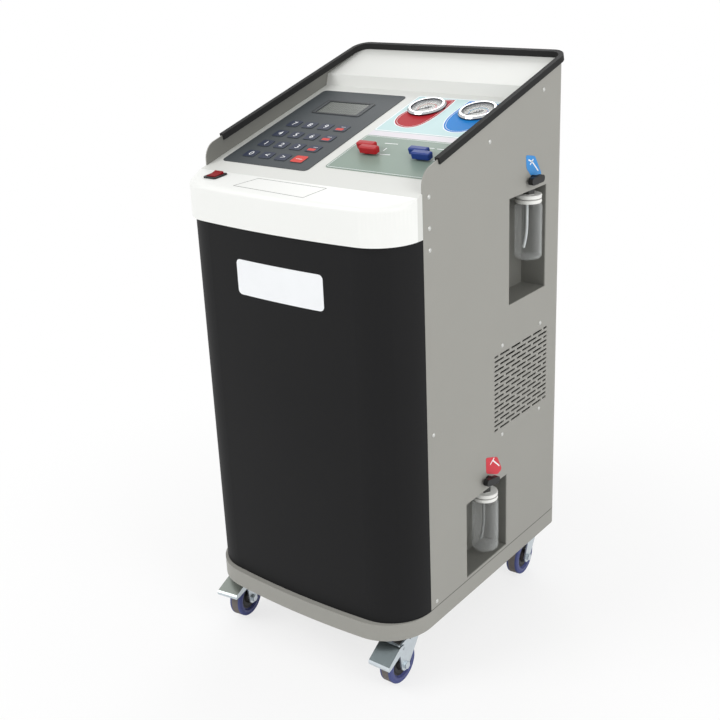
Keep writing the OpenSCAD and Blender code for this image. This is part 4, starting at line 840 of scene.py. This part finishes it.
def addScale(target, centre, numbers):
    low, layer, outer = dials["low"], dials["layer"], dials["outer"]
    for k in range(dials["steps"] + 1):
        isLong = k % dials["longEvery"] == 0
        kind = "longTick" if isLong else "midTick" if k % dials["midEvery"] == 0 else "shortTick"
        length, width = dials[kind]
        angle = math.radians(dials["start"] - dials["sweep"] * k / dials["steps"])
        ray = Vector((math.cos(angle), math.sin(angle)))
        addBar(target, centre + ray * (outer - length), centre + ray * outer, width, low, layer)
        if isLong:
            number = str(numbers[k // dials["longEvery"]])
            place = centre + ray * (outer - dials["numberIn"])
            addWord(target, number, dials["numberHeight"], place, low, layer)


def buildDials():
    place = consolePlace()
    black, red, blue, green = bmesh.new(), bmesh.new(), bmesh.new(), bmesh.new()
    for spotOnPlate, numbers, scaleInk in zip(dials["centres"], dials["numbers"], (red, blue)):
        centre = Vector(spotOnPlate)
        addScale(black, centre, numbers)
        addArc(black, centre, *dials["rimArc"])
        addArc(green, centre, *dials["greenArc"])
        addArc(scaleInk, centre, *dials["scaleArc"])
        addArc(red, centre, *dials["redArc"])
    addPiece("dialTicks", black, inks["black"], "cabinet", place)
    addPiece("dialRed", red, inks["crimson"], "cabinet", place)
    addPiece("dialBlue", blue, inks["azure"], "cabinet", place)
    addPiece("dialGreen", green, inks["green"], "cabinet", place)


buildDials()
print("dials printed")

# Bare white plate on the bowed front
namePlate = {"x": 5.0, "z": 719.0, "size": (184.0, 61.0), "corner": 8.0, "thick": 0.7, "slices": 18,
             "lift": 0.05}


def buildNamePlate():
    w, h = namePlate["size"]
    bm = roundedFace((w, h), namePlate["corner"], (0, 0), 0)
    for k in range(1, namePlate["slices"]):
        x = -w / 2 + w * k / namePlate["slices"]
        bmesh.ops.bisect_plane(bm, geom=bm.verts[:] + bm.edges[:] + bm.faces[:], plane_co=(x, 0, 0),
                               plane_no=(1, 0, 0))
    thicken(bm, namePlate["thick"])
    bmesh.ops.transform(bm, matrix=Matrix.Rotation(math.radians(90), 4, "X"), verts=bm.verts)
    bmesh.ops.translate(bm, vec=(namePlate["x"], 0, namePlate["z"]), verts=bm.verts)
    r = cabinet["bowRadius"]
    nose = cabinet["frontY"] - cabinet["frontNose"] - namePlate["lift"]
    for v in bm.verts:
        v.co.y += nose + r - math.sqrt(r * r - v.co.x ** 2)
    addPiece("namePlate", bm, inks["white"], "cabinet")


buildNamePlate()
print("name plate made")

# Leaf-shaped tags behind the oil knobs, each with plain white strokes, as (y, z) on the right panel
tags = {"thick": 0.4, "corner": 5.0, "stroke": 2.6, "strokeThick": 0.08,
        "upperTag": ("azure", "handle_blue",
                     [(124.75, 877.6), (155.75, 870.6), (180.75, 833.6), (144.75, 836.6), (126.75, 853.6)],
                     [((133, 868), (146, 862)), ((146, 862), (168, 842)), ((139, 858), (150, 866))]),
        "lowerTag": ("crimson", "handle_red",
                     [(-8.25, 353.6), (30.75, 339.6), (46.75, 308.0), (32.0, 303.0), (-7.25, 321.5)],
                     [((6, 334), (20, 342)), ((16, 338), (38, 318))])}


def buildTags():
    turn = Matrix(((0, 0, 1, 0), (1, 0, 0, 0), (0, 1, 0, 0), (0, 0, 0, 1)))
    ontoPanel = Matrix.Translation((cabinet["halfWidth"], 0, 0)) @ turn
    for name in ("upperTag", "lowerTag"):
        ink, slot, corners, strokes = tags[name]
        bm = bmesh.new()
        bm.faces.new([bm.verts.new((y, z, 0)) for y, z in reversed(corners)])
        bmesh.ops.bevel(bm, geom=bm.verts[:], offset=tags["corner"], offset_type="OFFSET",
                        affect="VERTICES", segments=cornerSteps, profile=0.5, material=-1)
        thicken(bm, tags["thick"])
        addPiece(name, bm, inks[ink], "cabinet", ontoPanel)
        marks = bmesh.new()
        for a, b in strokes:
            addBar(marks, a, b, tags["stroke"], tags["thick"], tags["strokeThick"])
        addPiece(name + "Mark", marks, inks["white"], "cabinet", ontoPanel)


buildTags()
print("tags made")

# Plain outline of a bare label on the deck, laid onto the moulding
deckLabel = {"corners": [(-98, -70), (-86, -22), (62, -24), (58, -78)], "width": 1.5, "thick": 0.06,
             "lift": 0.02, "dropFrom": 1.2, "longEdge": 20.0, "cuts": 9}


def buildDeckLabel():
    tree = BVHTree.FromObject(cadNodes["front_lip"], bpy.context.evaluated_depsgraph_get())
    bm = bmesh.new()
    corners = [(x, cabinet["frontY"] + v) for x, v in deckLabel["corners"]]
    for a, b in zip(corners, corners[1:] + corners[:1]):
        addBar(bm, a, b, deckLabel["width"], 0, deckLabel["thick"])
    long = [e for e in bm.edges if e.calc_length() > deckLabel["longEdge"]]
    bmesh.ops.subdivide_edges(bm, edges=long, cuts=deckLabel["cuts"])
    for v in bm.verts:
        above = Vector((v.co.x * mm, v.co.y * mm, deckLabel["dropFrom"]))
        hit = tree.ray_cast(above, Vector((0, 0, -1)))[0]
        v.co.z += (hit.z / mm if hit else console["height"]) + deckLabel["lift"]
    addPiece("deckLabel", bm, inks["grey"], "cabinet")


buildDeckLabel()
print("deck label laid")

# Black rings on both faces of each wheel; their section is in (radius, height)
hubRings = {"section": [(13.4, 0.0), (13.4, 0.8), (16.4, 1.2), (19.5, 1.2), (21.5, 0.0)], "steps": 48,
            "webDepth": 8.0, "trail": 30.0, "axleHeight": 37.5}


def buildHubRings():
    trail, height = hubRings["trail"], hubRings["axleHeight"]
    for name, (x, y, yaw) in castors.items():
        turn = math.radians(yaw)
        axle = Matrix.Translation((x + trail * math.sin(turn), y - trail * math.cos(turn), height))
        rings = bmesh.new()
        for side in (-1, 1):
            bm = bmesh.new()
            points = [bm.verts.new((r, 0, h)) for r, h in hubRings["section"]]
            edges = [bm.edges.new(pair) for pair in zip(points, points[1:] + points[:1])]
            bmesh.ops.spin(bm, geom=points + edges, cent=(0, 0, 0), axis=(0, 0, 1), angle=math.tau,
                           steps=hubRings["steps"], use_merge=True, use_duplicate=False)
            bmesh.ops.translate(bm, vec=(0, 0, hubRings["webDepth"]), verts=bm.verts)
            bmesh.ops.transform(bm, matrix=Matrix.Rotation(math.radians(90 * side), 4, "Y"), verts=bm.verts)
            joinInto(rings, bm)
        place = axle @ Matrix.Rotation(turn, 4, "Z")
        ring = addPiece(name + "HubRings", rings, finishes["blackMoulding"], name + "_wheel", place)


buildHubRings()
print("hub rings made")
